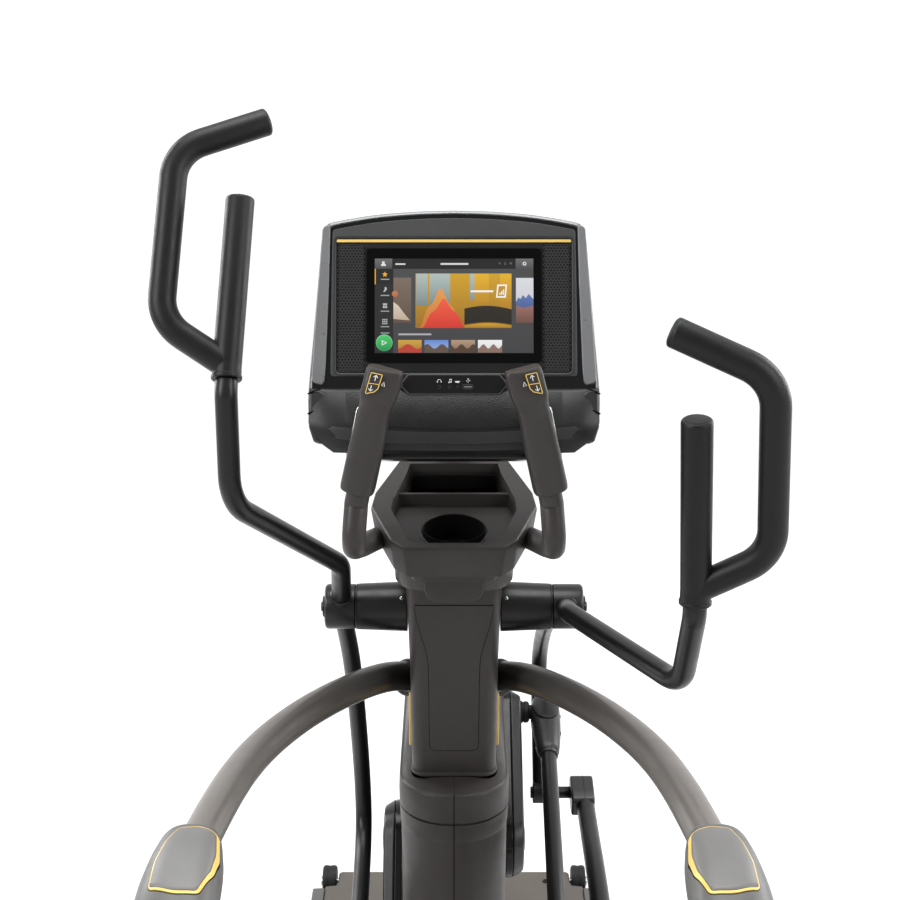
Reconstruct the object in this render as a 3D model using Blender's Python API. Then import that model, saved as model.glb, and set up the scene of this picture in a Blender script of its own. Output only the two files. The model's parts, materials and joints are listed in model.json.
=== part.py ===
"""Suspension elliptical trainer: frame, console, swing arms, cranks, rods, foot members and control links.

World axes: +X is the user's right, +Y points away from the user, +Z is up, and the floor is z = 0. The
origin is under the middle of the machine. Fore-and-aft places are given from the swing axle, as y.
"""

import math

import bmesh
import bpy
from mathutils import Matrix, Vector

# Overall layout, in metres. The cranks and arms are modelled at one end of the coupled travel.
FRONT_Y = 0.634
REAR_Y = -1.25
AXLE_Y = -(FRONT_Y + REAR_Y) / 2
AXLE_Z = 0.97
GAP = 0.0003

# Linkage, in the side plane: (y from the swing axle, z above the floor).
CRANK = (0.18, 0.424)
CRANK_RADIUS = 0.249
CRANK_ANGLE = math.radians(43.7)
ARM_SWING = math.radians(16.4)
ARM_FOOT_PIN = (0.158, -0.597)
LINK_PIVOT = (-0.80, 0.86)
LINK_LENGTH = 0.58
FOOT_MEMBER_LENGTH = 0.95
ROD_JOINT = (0.55, 0.139)

# Where each moving layer lies, measured out from the middle of the machine.
CRANK_LAYER = (0.0955, 0.130)
ROD_LAYER = (0.1535, 0.2035)
ROD_END_LAYER = (0.148, 0.188)
FOOT_LAYER = (0.2375, 0.2725)
LINK_LAYER = (0.2765, 0.300)

# Base: the heights of its members above the floor, and of the pads under them.
BASE_PLATE_Z = (0.022, 0.084)
BEAM_Z = (0.030, 0.084)
STABILISER_Z = (0.022, 0.085)
PAD_TOP = BASE_PLATE_Z[0] - GAP
WHEEL_CENTRE = (0.273, 0.600, 0.066)
WHEEL_RADIUS = 0.034
WHEEL_BORE = 0.0065

# Covers.
WALL = 0.0035
MAST_HALF = 0.0715
MAST_Y = (-0.085, 0.100)
COLLAR_TOP = 1.090

# Pedals.
PEDAL_BACK = 0.775
PEDAL_LEAN = math.radians(5.6)

# Tubes and shafts.
ARM_TUBE = 0.016
LOWER_ARM_TUBE = 0.0155
ARM_SLEEVE = 0.0205
FOOT_TUBE = 0.0175
ROD_TUBE = 0.015
ARCH_TUBE = 0.025
HANDLE_TUBE = 0.016
POST_TUBE = 0.027
AXLE_RADIUS = 0.015
HUB_RADIUS = 0.0375
HUB = (0.164, 0.215)
PIN_RADIUS = 0.0115
CRANK_PIN_RADIUS = 0.010
CRANK_AXLE_RADIUS = 0.0125
CRANK_AXLE_BORE = 0.0128
BEARING_SIDES = 32

# Swing arm, at its neutral angle: (x, y, z) from the axle.
ARM_LOWER_POINTS = [
    (0.188, 0.0, 0.0),
    (0.178, 0.17, -0.15),
    (0.172, 0.36, -0.43),
    (0.170, *ARM_FOOT_PIN),
]
ARM_UPPER_POINTS = [
    (0.188, 0.0, 0.0),
    (0.181, -0.113, 0.080),
    (0.316, -0.407, 0.190),
    (0.316, -0.448, 0.345),
]
SLEEVE_POINTS = [(0.316, -0.437, 0.384), (0.302, -0.401, 0.623)]
SLEEVE_SEAM = 0.46
LOOP_POINTS = [
    (0.316, -0.437, 0.384),
    (0.408, -0.444, 0.445),
    (0.392, -0.409, 0.687),
    (0.265, -0.377, 0.735),
]

# Arched rear frame tube: (x, y, z), from the mast out to the side, back and down to the rear foot.
ARCH_POINTS = [
    (0.034, 0.085, 0.800),
    (0.120, -0.026, 0.851),
    (0.217, -0.186, 0.877),
    (0.285, -0.400, 0.909),
    (0.314, -0.640, 0.940),
    (0.328, -0.800, 0.925),
    (0.338, -0.960, 0.800),
    (0.342, -1.090, 0.480),
    (0.345, -1.200, 0.110),
]

# Stationary grips: (x, y, z) of the ends of the right one.
GRIP_BOTTOM = (0.123, -0.465, 1.330)
GRIP_TOP = (0.088, -0.496, 1.500)

# Console, in its own tilted frame: x, depth behind the face, height up the face.
CONSOLE_FOOT = (-0.400, 1.366)
CONSOLE_TILT = math.radians(19.6)
CONSOLE_HEIGHT = 0.328
CONSOLE_DEPTH = 0.070
CONSOLE_HALF_LOW = 0.1985
CONSOLE_HALF_HIGH = 0.1725
FACE_DEPTH = 0.010
SHELF_TOP = 0.083
GLASS_HALF = 0.120
GLASS_HEIGHTS = (0.1167, 0.2728)

# Drive inside the shroud.
PULLEY_RADIUS = 0.13
FLYWHEEL = (0.365, 0.205)
FLYWHEEL_RADIUS = 0.092
FLYWHEEL_PULLEY = 0.025
BELT_LAYER = (-0.030, -0.012)
BELT_INSIDE = 0.0018
BELT_THICKNESS = 0.0022

SIDES = (("right", 1), ("left", -1))

PAINTS = {
    "satin_black": ((0.012, 0.012, 0.013), 0.38, 0.0),
    "rubber": ((0.015, 0.015, 0.016), 0.72, 0.0),
    "warm_grey": ((0.048, 0.043, 0.040), 0.50, 0.0),
    "mast_grey": ((0.046, 0.045, 0.043), 0.55, 0.0),
    "gunmetal": ((0.22, 0.20, 0.18), 0.32, 0.85),
    "housing_grey": ((0.26, 0.26, 0.265), 0.48, 0.0),
    "base_grey": ((0.23, 0.215, 0.20), 0.45, 0.1),
    "charcoal": ((0.030, 0.031, 0.033), 0.50, 0.0),
    "glass": ((0.006, 0.006, 0.008), 0.10, 0.0),
    "steel": ((0.55, 0.55, 0.55), 0.25, 1.0),
    "iron": ((0.10, 0.10, 0.105), 0.45, 0.9),
}


def clear_scene():
    for old in list(bpy.data.objects):
        bpy.data.objects.remove(old, do_unlink=True)


def paint(name):
    """One Principled material per finish."""
    if name in bpy.data.materials:
        return bpy.data.materials[name]
    colour, roughness, metallic = PAINTS[name]
    made = bpy.data.materials.new(name)
    made.use_nodes = True
    shader = made.node_tree.nodes["Principled BSDF"]
    shader.inputs["Base Color"].default_value = (*colour, 1.0)
    shader.inputs["Roughness"].default_value = roughness
    shader.inputs["Metallic"].default_value = metallic
    return made


def from_axle(x, y, z):
    """World point of a place given fore and aft from the swing axle."""
    return Vector((x, AXLE_Y + y, z))


def side_point(side, x, place):
    return from_axle(side * x, place[0], place[1])


def solid(name, shape, finish, origin=(0, 0, 0), matrix=None):
    """Makes an object of (points, faces) in world space, with its own origin at the place given."""
    points, faces = shape
    mesh = bpy.data.meshes.new(name)
    mesh.from_pydata([tuple(p) for p in points], [], faces)
    work = bmesh.new()
    work.from_mesh(mesh)
    if matrix is not None:
        work.transform(matrix)
    bmesh.ops.translate(work, verts=work.verts, vec=-Vector(origin))
    bmesh.ops.recalc_face_normals(work, faces=work.faces)
    work.to_mesh(mesh)
    work.free()
    mesh.shade_smooth()
    mesh.set_sharp_from_angle(angle=math.radians(35))
    mesh.materials.append(paint(finish))
    made = bpy.data.objects.new(name, mesh)
    made.location = origin
    bpy.context.scene.collection.objects.link(made)
    return made


def helper(name, shape, matrix=None):
    """A cutter or a piece to join, which isn't a node of its own."""
    made = solid(name, shape, "steel", matrix=matrix)
    made.hide_render = True
    made.display_type = "WIRE"
    return made


def combine(target, shapes, operation, matrix=None):
    """Adds one Boolean modifier to the target for each shape."""
    for shape in shapes:
        number = len(target.modifiers) + 1
        tool = helper(f"{target.name}_tool_{number}", shape, matrix)
        step = target.modifiers.new(f"{operation.lower()}_{number}", "BOOLEAN")
        step.operation = operation
        step.solver = "EXACT"
        step.object = tool
    return target


def soften(target, width, segments=1, angle=40):
    """Rounds the sharp edges."""
    bevel = target.modifiers.new("bevel", "BEVEL")
    bevel.width = width
    bevel.segments = segments
    bevel.limit_method = "ANGLE"
    bevel.angle_limit = math.radians(angle)
    bevel.harden_normals = False
    return target


def loft(rings, closed=False):
    """Faces over a row of rings with equal counts, with caps at both ends unless it closes on itself."""
    count = len(rings[0])
    points = [p for ring in rings for p in ring]
    faces = []
    pairs = len(rings) if closed else len(rings) - 1
    for i in range(pairs):
        first, second = i * count, ((i + 1) % len(rings)) * count
        for k in range(count):
            following = (k + 1) % count
            faces.append((first + k, first + following, second + following, second + k))
    if not closed:
        faces.append(tuple(range(count)))
        faces.append(tuple(range(len(points) - count, len(points))))
    return points, faces


def circle_points(sides):
    return [2 * math.pi * k / sides for k in range(sides)]


def tube(path, radius, sides=12):
    """A round tube along a path. The radius is one number, or one for each point."""
    path = [Vector(p) for p in path]
    radii = radius if isinstance(radius, list) else [radius] * len(path)
    across = None
    rings = []
    for i, place in enumerate(path):
        ahead = path[min(i + 1, len(path) - 1)] - path[max(i - 1, 0)]
        ahead.normalize()
        if across is None:
            across = ahead.orthogonal().normalized()
        across = (across - ahead * across.dot(ahead)).normalized()
        other = ahead.cross(across)
        ring = [place + (across * math.cos(a) + other * math.sin(a)) * radii[i] for a in circle_points(sides)]
        rings.append(ring)
    return loft(rings)


def turned(profile, centre, sides=24):
    """Turns (x, radius) points about the X axis. A profile that stays off the axis closes on itself."""
    centre = Vector(centre)
    hollow = all(radius > 0 for _, radius in profile)
    rings = []
    for x, radius in profile:
        if radius > 0:
            ring = [
                centre + Vector((x, radius * math.cos(a), radius * math.sin(a))) for a in circle_points(sides)
            ]
            rings.append(ring)
    return loft(rings, closed=hollow)


def disc(x0, x1, radius, centre, sides=24, edge=0.0):
    """A solid cylinder on the X axis, with chamfered rims."""
    x0, x1 = sorted((x0, x1))
    if edge:
        profile = [(x0, 0), (x0, radius - edge), (x0 + edge, radius)]
        profile += [(x1 - edge, radius), (x1, radius - edge), (x1, 0)]
    else:
        profile = [(x0, 0), (x0, radius), (x1, radius), (x1, 0)]
    return turned(profile, centre, sides)


def ring_disc(x0, x1, inner, outer, centre, sides=24):
    return turned([(x0, inner), (x0, outer), (x1, outer), (x1, inner)], centre, sides)


def box(low, high):
    xs, ys, zs = zip(low, high)
    points = [Vector((x, y, z)) for x in xs for y in ys for z in zs]
    faces = [(0, 1, 3, 2), (4, 5, 7, 6), (0, 1, 5, 4), (2, 3, 7, 6), (0, 2, 6, 4), (1, 3, 7, 5)]
    return points, faces


def block(x_range, y_range, z_range):
    """A box from its extents, with y from the swing axle."""
    low, high = zip(sorted(x_range), sorted(y_range), sorted(z_range))
    return box(from_axle(*low), from_axle(*high))


def rounded_rectangle(half_x, y0, y1, radius, z, steps=3):
    """A level rounded rectangle, centred on x = 0, as points from the axle."""
    corners = [(half_x, y1, 0), (-half_x, y1, 90), (-half_x, y0, 180), (half_x, y0, 270)]
    points = []
    for x, y, start in corners:
        centre_x = x - math.copysign(radius, x)
        centre_y = y - radius if y == y1 else y + radius
        for k in range(steps + 1):
            a = math.radians(start + 90 * k / steps)
            points.append(from_axle(centre_x + radius * math.cos(a), centre_y + radius * math.sin(a), z))
    return points


def prism(outline, x0, x1):
    """Extrudes a (y, z) outline from x0 to x1."""
    x0, x1 = sorted((x0, x1))
    rings = [[from_axle(x, y, z) for y, z in outline] for x in (x0, x1)]
    return loft(rings)


def capsule(first, second, first_radius, second_radius, steps=10):
    """The outline round two circles in the side plane, as (y, z) points."""
    along = Vector((second[0] - first[0], second[1] - first[1]))
    heading = math.atan2(along.y, along.x)
    lean = math.acos((first_radius - second_radius) / along.length)
    outline = []
    for k in range(steps + 1):
        a = heading + lean + (2 * math.pi - 2 * lean) * k / steps
        outline.append((first[0] + first_radius * math.cos(a), first[1] + first_radius * math.sin(a)))
    for k in range(steps + 1):
        a = heading - lean + 2 * lean * k / steps
        outline.append((second[0] + second_radius * math.cos(a), second[1] + second_radius * math.sin(a)))
    return outline


def filleted(points, radius, steps=5):
    """A path with each inner corner replaced by an arc of this bend radius."""
    points = [Vector(p) for p in points]
    path = [points[0]]
    for before, corner, after in zip(points, points[1:], points[2:]):
        incoming = (before - corner).normalized()
        outgoing = (after - corner).normalized()
        half = incoming.angle(outgoing) / 2
        reach = min(radius / math.tan(half), 0.49 * (before - corner).length, 0.49 * (after - corner).length)
        bend = reach * math.tan(half)
        middle = corner + (incoming + outgoing).normalized() * (bend / math.sin(half))
        start = corner + incoming * reach - middle
        end = corner + outgoing * reach - middle
        turn = start.angle(end)
        for k in range(steps + 1):
            t = k / steps
            blend = start * math.sin((1 - t) * turn) + end * math.sin(t * turn)
            path.append(middle + blend / math.sin(turn))
    path.append(points[-1])
    return path


def smooth_path(points, steps=4):
    """A Catmull-Rom curve through the points."""
    points = [Vector(p) for p in points]
    ends = [2 * points[0] - points[1], *points, 2 * points[-1] - points[-2]]
    path = []
    for a, b, c, d in zip(ends, ends[1:], ends[2:], ends[3:]):
        for k in range(steps):
            t = k / steps
            quadratic = (2 * a - 5 * b + 4 * c - d) * t**2
            cubic = (3 * b - a - 3 * c + d) * t**3
            path.append(0.5 * (2 * b + (c - a) * t + quadratic + cubic))
    path.append(points[-1])
    return path


def swung(point, side, angle):
    """Carries a neutral arm point from the axle to its place in the world at a swing angle."""
    x, y, z = point
    turned_y = y * math.cos(angle) + z * math.sin(angle)
    turned_z = -y * math.sin(angle) + z * math.cos(angle)
    return from_axle(side * x, turned_y, AXLE_Z + turned_z)


def meeting_point(first, first_radius, second, second_radius):
    """The lower crossing of two circles in the side plane."""
    first, second = Vector(first), Vector(second)
    span = second - first
    along = (first_radius**2 - second_radius**2 + span.length_squared) / (2 * span.length)
    aside = math.sqrt(first_radius**2 - along**2)
    heading = span.normalized()
    normal = Vector((-heading.y, heading.x))
    crossings = [first + heading * along + normal * aside * sign for sign in (1, -1)]
    return min(crossings, key=lambda place: place.y)


class Linkage:
    """Where one side's pivots lie: the right side has its arm's foot forward, the left one back."""

    def __init__(self, side):
        self.side = side
        self.swing = -side * ARM_SWING
        angle = CRANK_ANGLE if side > 0 else CRANK_ANGLE + math.pi
        self.crank_pin = (
            CRANK[0] + CRANK_RADIUS * math.cos(angle),
            CRANK[1] + CRANK_RADIUS * math.sin(angle),
        )
        foot = swung((0, *ARM_FOOT_PIN), 1, self.swing)
        self.arm_pin = (foot.y - AXLE_Y, foot.z)
        hung = meeting_point(self.arm_pin, FOOT_MEMBER_LENGTH, LINK_PIVOT, LINK_LENGTH)
        self.link_pin = (hung.x, hung.y)
        self.back = (hung - Vector(self.arm_pin)).normalized()
        self.up = Vector((self.back.y, -self.back.x))
        self.rod_pin = self.on_member(*ROD_JOINT)

    def on_member(self, back, up):
        """A side-plane place this far back along the foot member's line and above it."""
        place = Vector(self.arm_pin) + self.back * back + self.up * up
        return (place.x, place.y)


def make_base():
    low, high = BASE_PLATE_Z
    plate = solid("base_plate", block((-0.2795, 0.2795), (0.38, 0.61), (low, high)), "base_grey")
    soften(plate, 0.006)
    corners = [block((side * 0.253, side * 0.30), (0.555, 0.65), (0.0, 0.12)) for _, side in SIDES]
    combine(plate, corners, "DIFFERENCE")
    for name, side in SIDES:
        wheel_axis = from_axle(0, *WHEEL_CENTRE[1:])
        combine(plate, [disc(side * 0.235, side * 0.2885, 0.006, wheel_axis, 12)], "UNION")
        tread = [(0.015, WHEEL_RADIUS - 0.004), (0.010, WHEEL_RADIUS)]
        profile = [(-x, r) for x, r in tread] + [(x, r) for x, r in reversed(tread)]
        profile = [(-0.015, WHEEL_BORE), *profile, (0.015, WHEEL_BORE)]
        hub = from_axle(side * WHEEL_CENTRE[0], *WHEEL_CENTRE[1:])
        solid(f"transport_wheel_{name}", turned(profile, hub, 24), "rubber", hub)
        cap_shape = block((side * 0.2798, side * 0.306), (0.38, 0.553), (low, high + 0.004))
        soften(solid(f"base_end_cap_{name}", cap_shape, "housing_grey"), 0.005)
        for end, x, y in (("front", 0.24, 0.42), ("rear", 0.33, -1.21)):
            pad = [(0.0, 0.0), (0.0, 0.020), (0.004, 0.022), (0.010, 0.022), (0.013, 0.008)]
            pad += [(PAD_TOP, 0.008), (PAD_TOP, 0.0)]
            place = from_axle(side * x, y, 0)
            upright = Matrix.Translation(place) @ Matrix.Rotation(-math.pi / 2, 4, "Y")
            solid(f"foot_{end}_{name}", turned(pad, (0, 0, 0), 16), "rubber", place, upright)

    beam = solid("centre_beam", block((-0.04, 0.04), (-1.1695, 0.3797), BEAM_Z), "satin_black")
    soften(beam, 0.006)
    bracket_y = (FLYWHEEL[0] - 0.025, FLYWHEEL[0] + 0.0145)
    bracket = block((-0.008, 0.008), bracket_y, (0.07, FLYWHEEL[1] + 0.03))
    combine(beam, [bracket], "UNION")
    combine(beam, [disc(-0.05, 0.05, 0.0083, from_axle(0, *FLYWHEEL), 16)], "DIFFERENCE")
    stabiliser = solid("rear_stabiliser", block((-0.37, 0.37), (-1.25, -1.17), STABILISER_Z), "satin_black")
    soften(stabiliser, 0.010, 2)


def make_mast():
    places = [(0.0, 0.0845), (0.0, 1.15), (-0.16, 1.37), (-0.225, 1.44)]
    post_path = filleted([from_axle(0, y, z) for y, z in places], 0.10, 3)
    post = solid("mast_post", tube(post_path, POST_TUBE, 12), "satin_black")
    bearing_arm = block((-0.008, 0.008), (0.005, CRANK[0]), (0.395, 0.453))
    bearing = disc(-0.010, 0.050, 0.024, from_axle(0, *CRANK), 20)
    combine(post, [bearing_arm, bearing], "UNION")
    holes = [
        disc(-0.08, 0.08, CRANK_AXLE_BORE, from_axle(0, *CRANK), BEARING_SIDES),
        disc(-0.08, 0.08, AXLE_RADIUS + GAP, from_axle(0, 0, AXLE_Z), 20),
    ]
    combine(post, holes, "DIFFERENCE")

    levels = [(0.700, MAST_HALF), (0.82, MAST_HALF), (0.93, 0.074), (1.0497, 0.078)]
    y0, y1 = MAST_Y
    outer = [rounded_rectangle(half, y0, y1, 0.030, z) for z, half in levels]
    inner = [rounded_rectangle(half - WALL, y0 + WALL, y1 - WALL, 0.027, z) for z, half in levels]
    inner[0] = [p + Vector((0, 0, -0.02)) for p in inner[0]]
    inner[-1] = [p + Vector((0, 0, 0.02)) for p in inner[-1]]
    cover = solid("mast_cover", loft(outer), "warm_grey")
    combine(cover, [loft(inner), disc(-0.12, 0.12, 0.017, from_axle(0, 0, AXLE_Z), 20)], "DIFFERENCE")
    arch_roots = [tube(arch_path(side)[:6], ARCH_TUBE + 0.002, 12) for _, side in SIDES]
    combine(cover, arch_roots, "DIFFERENCE")

    outline = [(0.044, 1.030), (0.044, 1.000), (0.037, 0.900), (0.036, 0.750), (0.030, 0.738)]
    panel_points = [from_axle(x, -0.0885, z) for x, z in outline]
    panel_points += [from_axle(-x, -0.0885, z) for x, z in reversed(outline)]
    backs = [p + Vector((0, 0.0032, 0)) for p in panel_points]
    panel = solid("mast_panel", loft([panel_points, backs]), "mast_grey")
    soften(panel, 0.0008)

    collar_levels = [(1.050, 0.088), (1.056, 0.094), (1.084, 0.096), (COLLAR_TOP, 0.091)]
    collar_rings = [rounded_rectangle(half, -0.132, 0.112, 0.045, z) for z, half in collar_levels]
    collar = solid("mast_collar", loft(collar_rings), "warm_grey")
    post_room = tube([from_axle(0, 0, 1.0), from_axle(0, 0, 1.14)], POST_TUBE + 0.001, 16)
    combine(collar, [post_room], "DIFFERENCE")
    return post_path


def make_shroud():
    """Two hollow halves that meet on the centre plane, open underneath."""
    levels = [
        (0.0845, 0.086, -0.125, 0.500, 0.080),
        (0.600, 0.090, -0.130, 0.500, 0.085),
        (0.655, 0.091, -0.132, 0.485, 0.085),
        (0.690, 0.086, -0.118, 0.440, 0.080),
        (0.760, 0.078, -0.060, 0.330, 0.070),
    ]
    outer = [rounded_rectangle(half, y0, y1, r, z, 4) for z, half, y0, y1, r in levels]
    inner = [
        rounded_rectangle(half - WALL, y0 + WALL, y1 - WALL, r - WALL, z, 4) for z, half, y0, y1, r in levels
    ]
    inner[0] = [p + Vector((0, 0, -0.03)) for p in inner[0]]
    inner[-1] = [p + Vector((0, 0, -WALL)) for p in inner[-1]]
    y0, y1 = MAST_Y
    mast_room = [rounded_rectangle(MAST_HALF + GAP, y0 - GAP, y1 + GAP, 0.030, z) for z in (0.69, 0.90)]
    post_room = tube([from_axle(0, 0, 0.05), from_axle(0, 0, 0.95)], POST_TUBE + 0.002, 16)
    for name, side in SIDES:
        half = solid(f"shroud_{name}", loft(outer), "warm_grey")
        other_half = block((side * GAP / 2, -side * 0.2), (-0.3, 0.7), (0.0, 1.0))
        axle_hole = disc(-0.12, 0.12, 0.020, from_axle(0, *CRANK), 20)
        combine(half, [loft(inner), loft(mast_room), post_room, axle_hole, other_half], "DIFFERENCE")


def arch_path(side):
    return smooth_path([from_axle(side * x, y, z) for x, y, z in ARCH_POINTS], 3)


def make_arches():
    pivot = from_axle(0, *LINK_PIVOT)
    for name, side in SIDES:
        path = arch_path(side)
        foot = block((side * 0.315, side * 0.370), (-1.240, -1.180), (STABILISER_Z[1] + GAP, 0.112))
        arch = solid(f"arch_tube_{name}", tube(path, ARCH_TUBE, 12), "gunmetal")
        combine(arch, [foot], "UNION")

        stations = [
            (-0.655, 0.286, 0.352, 0.905, 0.972),
            (-0.700, 0.2715, 0.366, 0.870, 0.975),
            (-0.800, 0.2715, 0.380, 0.826, 0.966),
            (-0.880, 0.2715, 0.384, 0.780, 0.930),
            (-0.960, 0.290, 0.380, 0.730, 0.860),
        ]
        outer = [housing_ring(side, *station, 0.0) for station in stations]
        housing = solid(f"arch_housing_{name}", loft(outer), "housing_grey")
        cavity = [
            housing_ring(side, y, x0, x1, z0 - 0.08, z1, WALL) for y, x0, x1, z0, z1 in stations[1:4]
        ]
        combine(housing, [loft(cavity)], "DIFFERENCE")
        pin = disc(side * (LINK_LAYER[0] - 0.001), side * 0.378, 0.012, pivot, 16)
        combine(housing, [pin], "UNION")
        combine(housing, [tube(path, ARCH_TUBE + 0.0005, 12)], "DIFFERENCE")


def housing_ring(side, y, x0, x1, z0, z1, wall):
    """One upright section of the arch housing, with chamfered corners."""
    x0, x1, z0, z1 = x0 + wall, x1 - wall, z0 + wall, z1 - wall
    cut = 0.018
    places = [
        (x0 + cut, z0), (x1 - cut, z0), (x1, z0 + cut), (x1, z1 - cut),
        (x1 - cut, z1), (x0 + cut, z1), (x0, z1 - cut), (x0, z0 + cut),
    ]
    return [from_axle(side * x, y, z) for x, z in places]


def grip_line(side):
    """Bottom and top of a stationary grip."""
    return from_axle(side * GRIP_BOTTOM[0], *GRIP_BOTTOM[1:]), from_axle(side * GRIP_TOP[0], *GRIP_TOP[1:])


def handle_path(side):
    """From inside the tray, out and round the lower bend, then straight into the grip."""
    places = [
        (0.045, -0.130, 1.145),
        (0.095, -0.290, 1.200),
        (0.128, -0.425, 1.228),
        (0.131, -0.476, 1.252),
    ]
    bottom, top = grip_line(side)
    along = (top - bottom).normalized()
    bend = [from_axle(side * x, y, z) for x, y, z in places] + [bottom - along * 0.020]
    return smooth_path(bend, 3) + [bottom]


def make_tray(post_path):
    """Accessory tray: a tapered bowl that leans towards the user, with a cup well and a phone pocket."""
    rim = [
        (0.071, -0.420),
        (0.090, -0.400),
        (0.116, -0.330),
        (0.112, -0.290),
        (0.076, -0.196),
        (0.065, -0.190),
    ]
    front_y, front_z, middle_y = -0.420, 1.232, -0.305
    slope = (1.293 - front_z) / (-0.190 - front_y)

    def scaled(scale, centre_y):
        half = [(x * scale, centre_y + (y - middle_y) * scale) for x, y in rim]
        return half + [(-x, y) for x, y in reversed(half)]

    def level(scale, centre_y, z):
        return [from_axle(x, y, z) for x, y in scaled(scale, centre_y)]

    def along_rim(scale, centre_y, lift):
        return [from_axle(x, y, front_z + (y - front_y) * slope + lift) for x, y in scaled(scale, centre_y)]

    rings = [
        level(0.62, -0.075, COLLAR_TOP + GAP),
        level(0.66, -0.120, 1.115),
        along_rim(0.98, -0.300, -0.034),
        along_rim(1.00, middle_y, -0.026),
        along_rim(1.00, middle_y, 0.000),
    ]
    tray = solid("tray", loft(rings), "warm_grey")
    cup = tube([from_axle(0, -0.340, 1.188), from_axle(0, -0.362, 1.300)], 0.044, 24)
    pocket = [
        [from_axle(x, y, z) for x, y in ((-w, -0.272), (w, -0.272), (w * 0.85, -0.212), (-w * 0.85, -0.212))]
        for z, w in ((1.195, 0.070), (1.340, 0.080))
    ]
    cuts = [cup, loft(pocket), tube(post_path, POST_TUBE + 0.0005, 12)]
    cuts += [tube(handle_path(side), HANDLE_TUBE + 0.0005, 10) for _, side in SIDES]
    combine(tray, cuts, "DIFFERENCE")


def make_handles():
    for name, side in SIDES:
        path = handle_path(side)
        solid(f"handle_tube_{name}", tube(path, HANDLE_TUBE, 10), "warm_grey")
        start, top = grip_line(side)
        along = (top - start).normalized()
        knuckle = start + along * 0.010
        head_base = start + along * 0.148
        waist = [start + along * 0.06, start + along * 0.11]
        grip_path = [start + along * GAP, knuckle, *waist, head_base, top, top + along * 0.012]
        grip_shape = tube(grip_path, [0.019, 0.0215, 0.0195, 0.0205, 0.024, 0.027, 0.021], 14)
        grip = solid(f"handle_grip_{name}", grip_shape, "warm_grey")
        face_normal = Vector((side * -0.10, -0.80, 0.60)).normalized()
        centre = top - along * 0.012 + face_normal * 0.0225
        frame = Matrix.Translation(centre) @ facing(along, face_normal)
        room = box((-0.0125, -0.022, -0.006), (0.0125, 0.022, 0.02))
        combine(grip, [room], "DIFFERENCE", frame)
        key = box((-0.0115, -0.021, -0.0035), (0.0115, 0.021, 0.0035))
        soften(solid(f"toggle_{name}", key, "charcoal", centre, frame), 0.001)
        outward = Vector((side, 0.2, 0)).normalized()
        plate_frame = Matrix.Translation(start + along * 0.085 + outward * 0.0225) @ facing(along, outward)
        plate = box((-0.009, -0.040, -0.001), (0.009, 0.040, 0.001))
        strip = solid(f"contact_plate_{name}", plate, "steel", matrix=plate_frame)
        room = box((-0.0095, -0.0405, -0.0016), (0.0095, 0.0405, 0.02))
        combine(grip, [room], "DIFFERENCE", plate_frame)
        soften(strip, 0.0004)


def facing(along, normal):
    """A rotation whose Y axis runs along one direction and whose Z axis comes near the normal."""
    across = along.cross(normal).normalized()
    outward = across.cross(along).normalized()
    return Matrix((across, along, outward)).transposed().to_4x4()


def console_outline(inset=0.0, low=0.0, high=CONSOLE_HEIGHT):
    """Front outline of the console, as (x, height up the face) points: full width low down, an arched top."""
    shoulder = 0.300
    arch = [(0.168, 0.313), (0.120, 0.3215), (0.0, CONSOLE_HEIGHT)]
    half = [(CONSOLE_HALF_LOW - 0.010, 0.0), (CONSOLE_HALF_LOW, 0.012), (CONSOLE_HALF_LOW, 0.080)]
    half += [(0.186, 0.190), (CONSOLE_HALF_HIGH + 0.004, shoulder)]
    half = [(x - inset, min(max(z, low + inset), high)) for x, z in half if z >= low]
    if low > 0:
        half = [(CONSOLE_HALF_LOW - inset - 0.001, low)] + half
    half += [(x - inset, z - inset) for x, z in arch[:2]]
    points = half + [(0.0, arch[2][1] - inset)]
    return points + [(-x, z) for x, z in reversed(half)]


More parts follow.
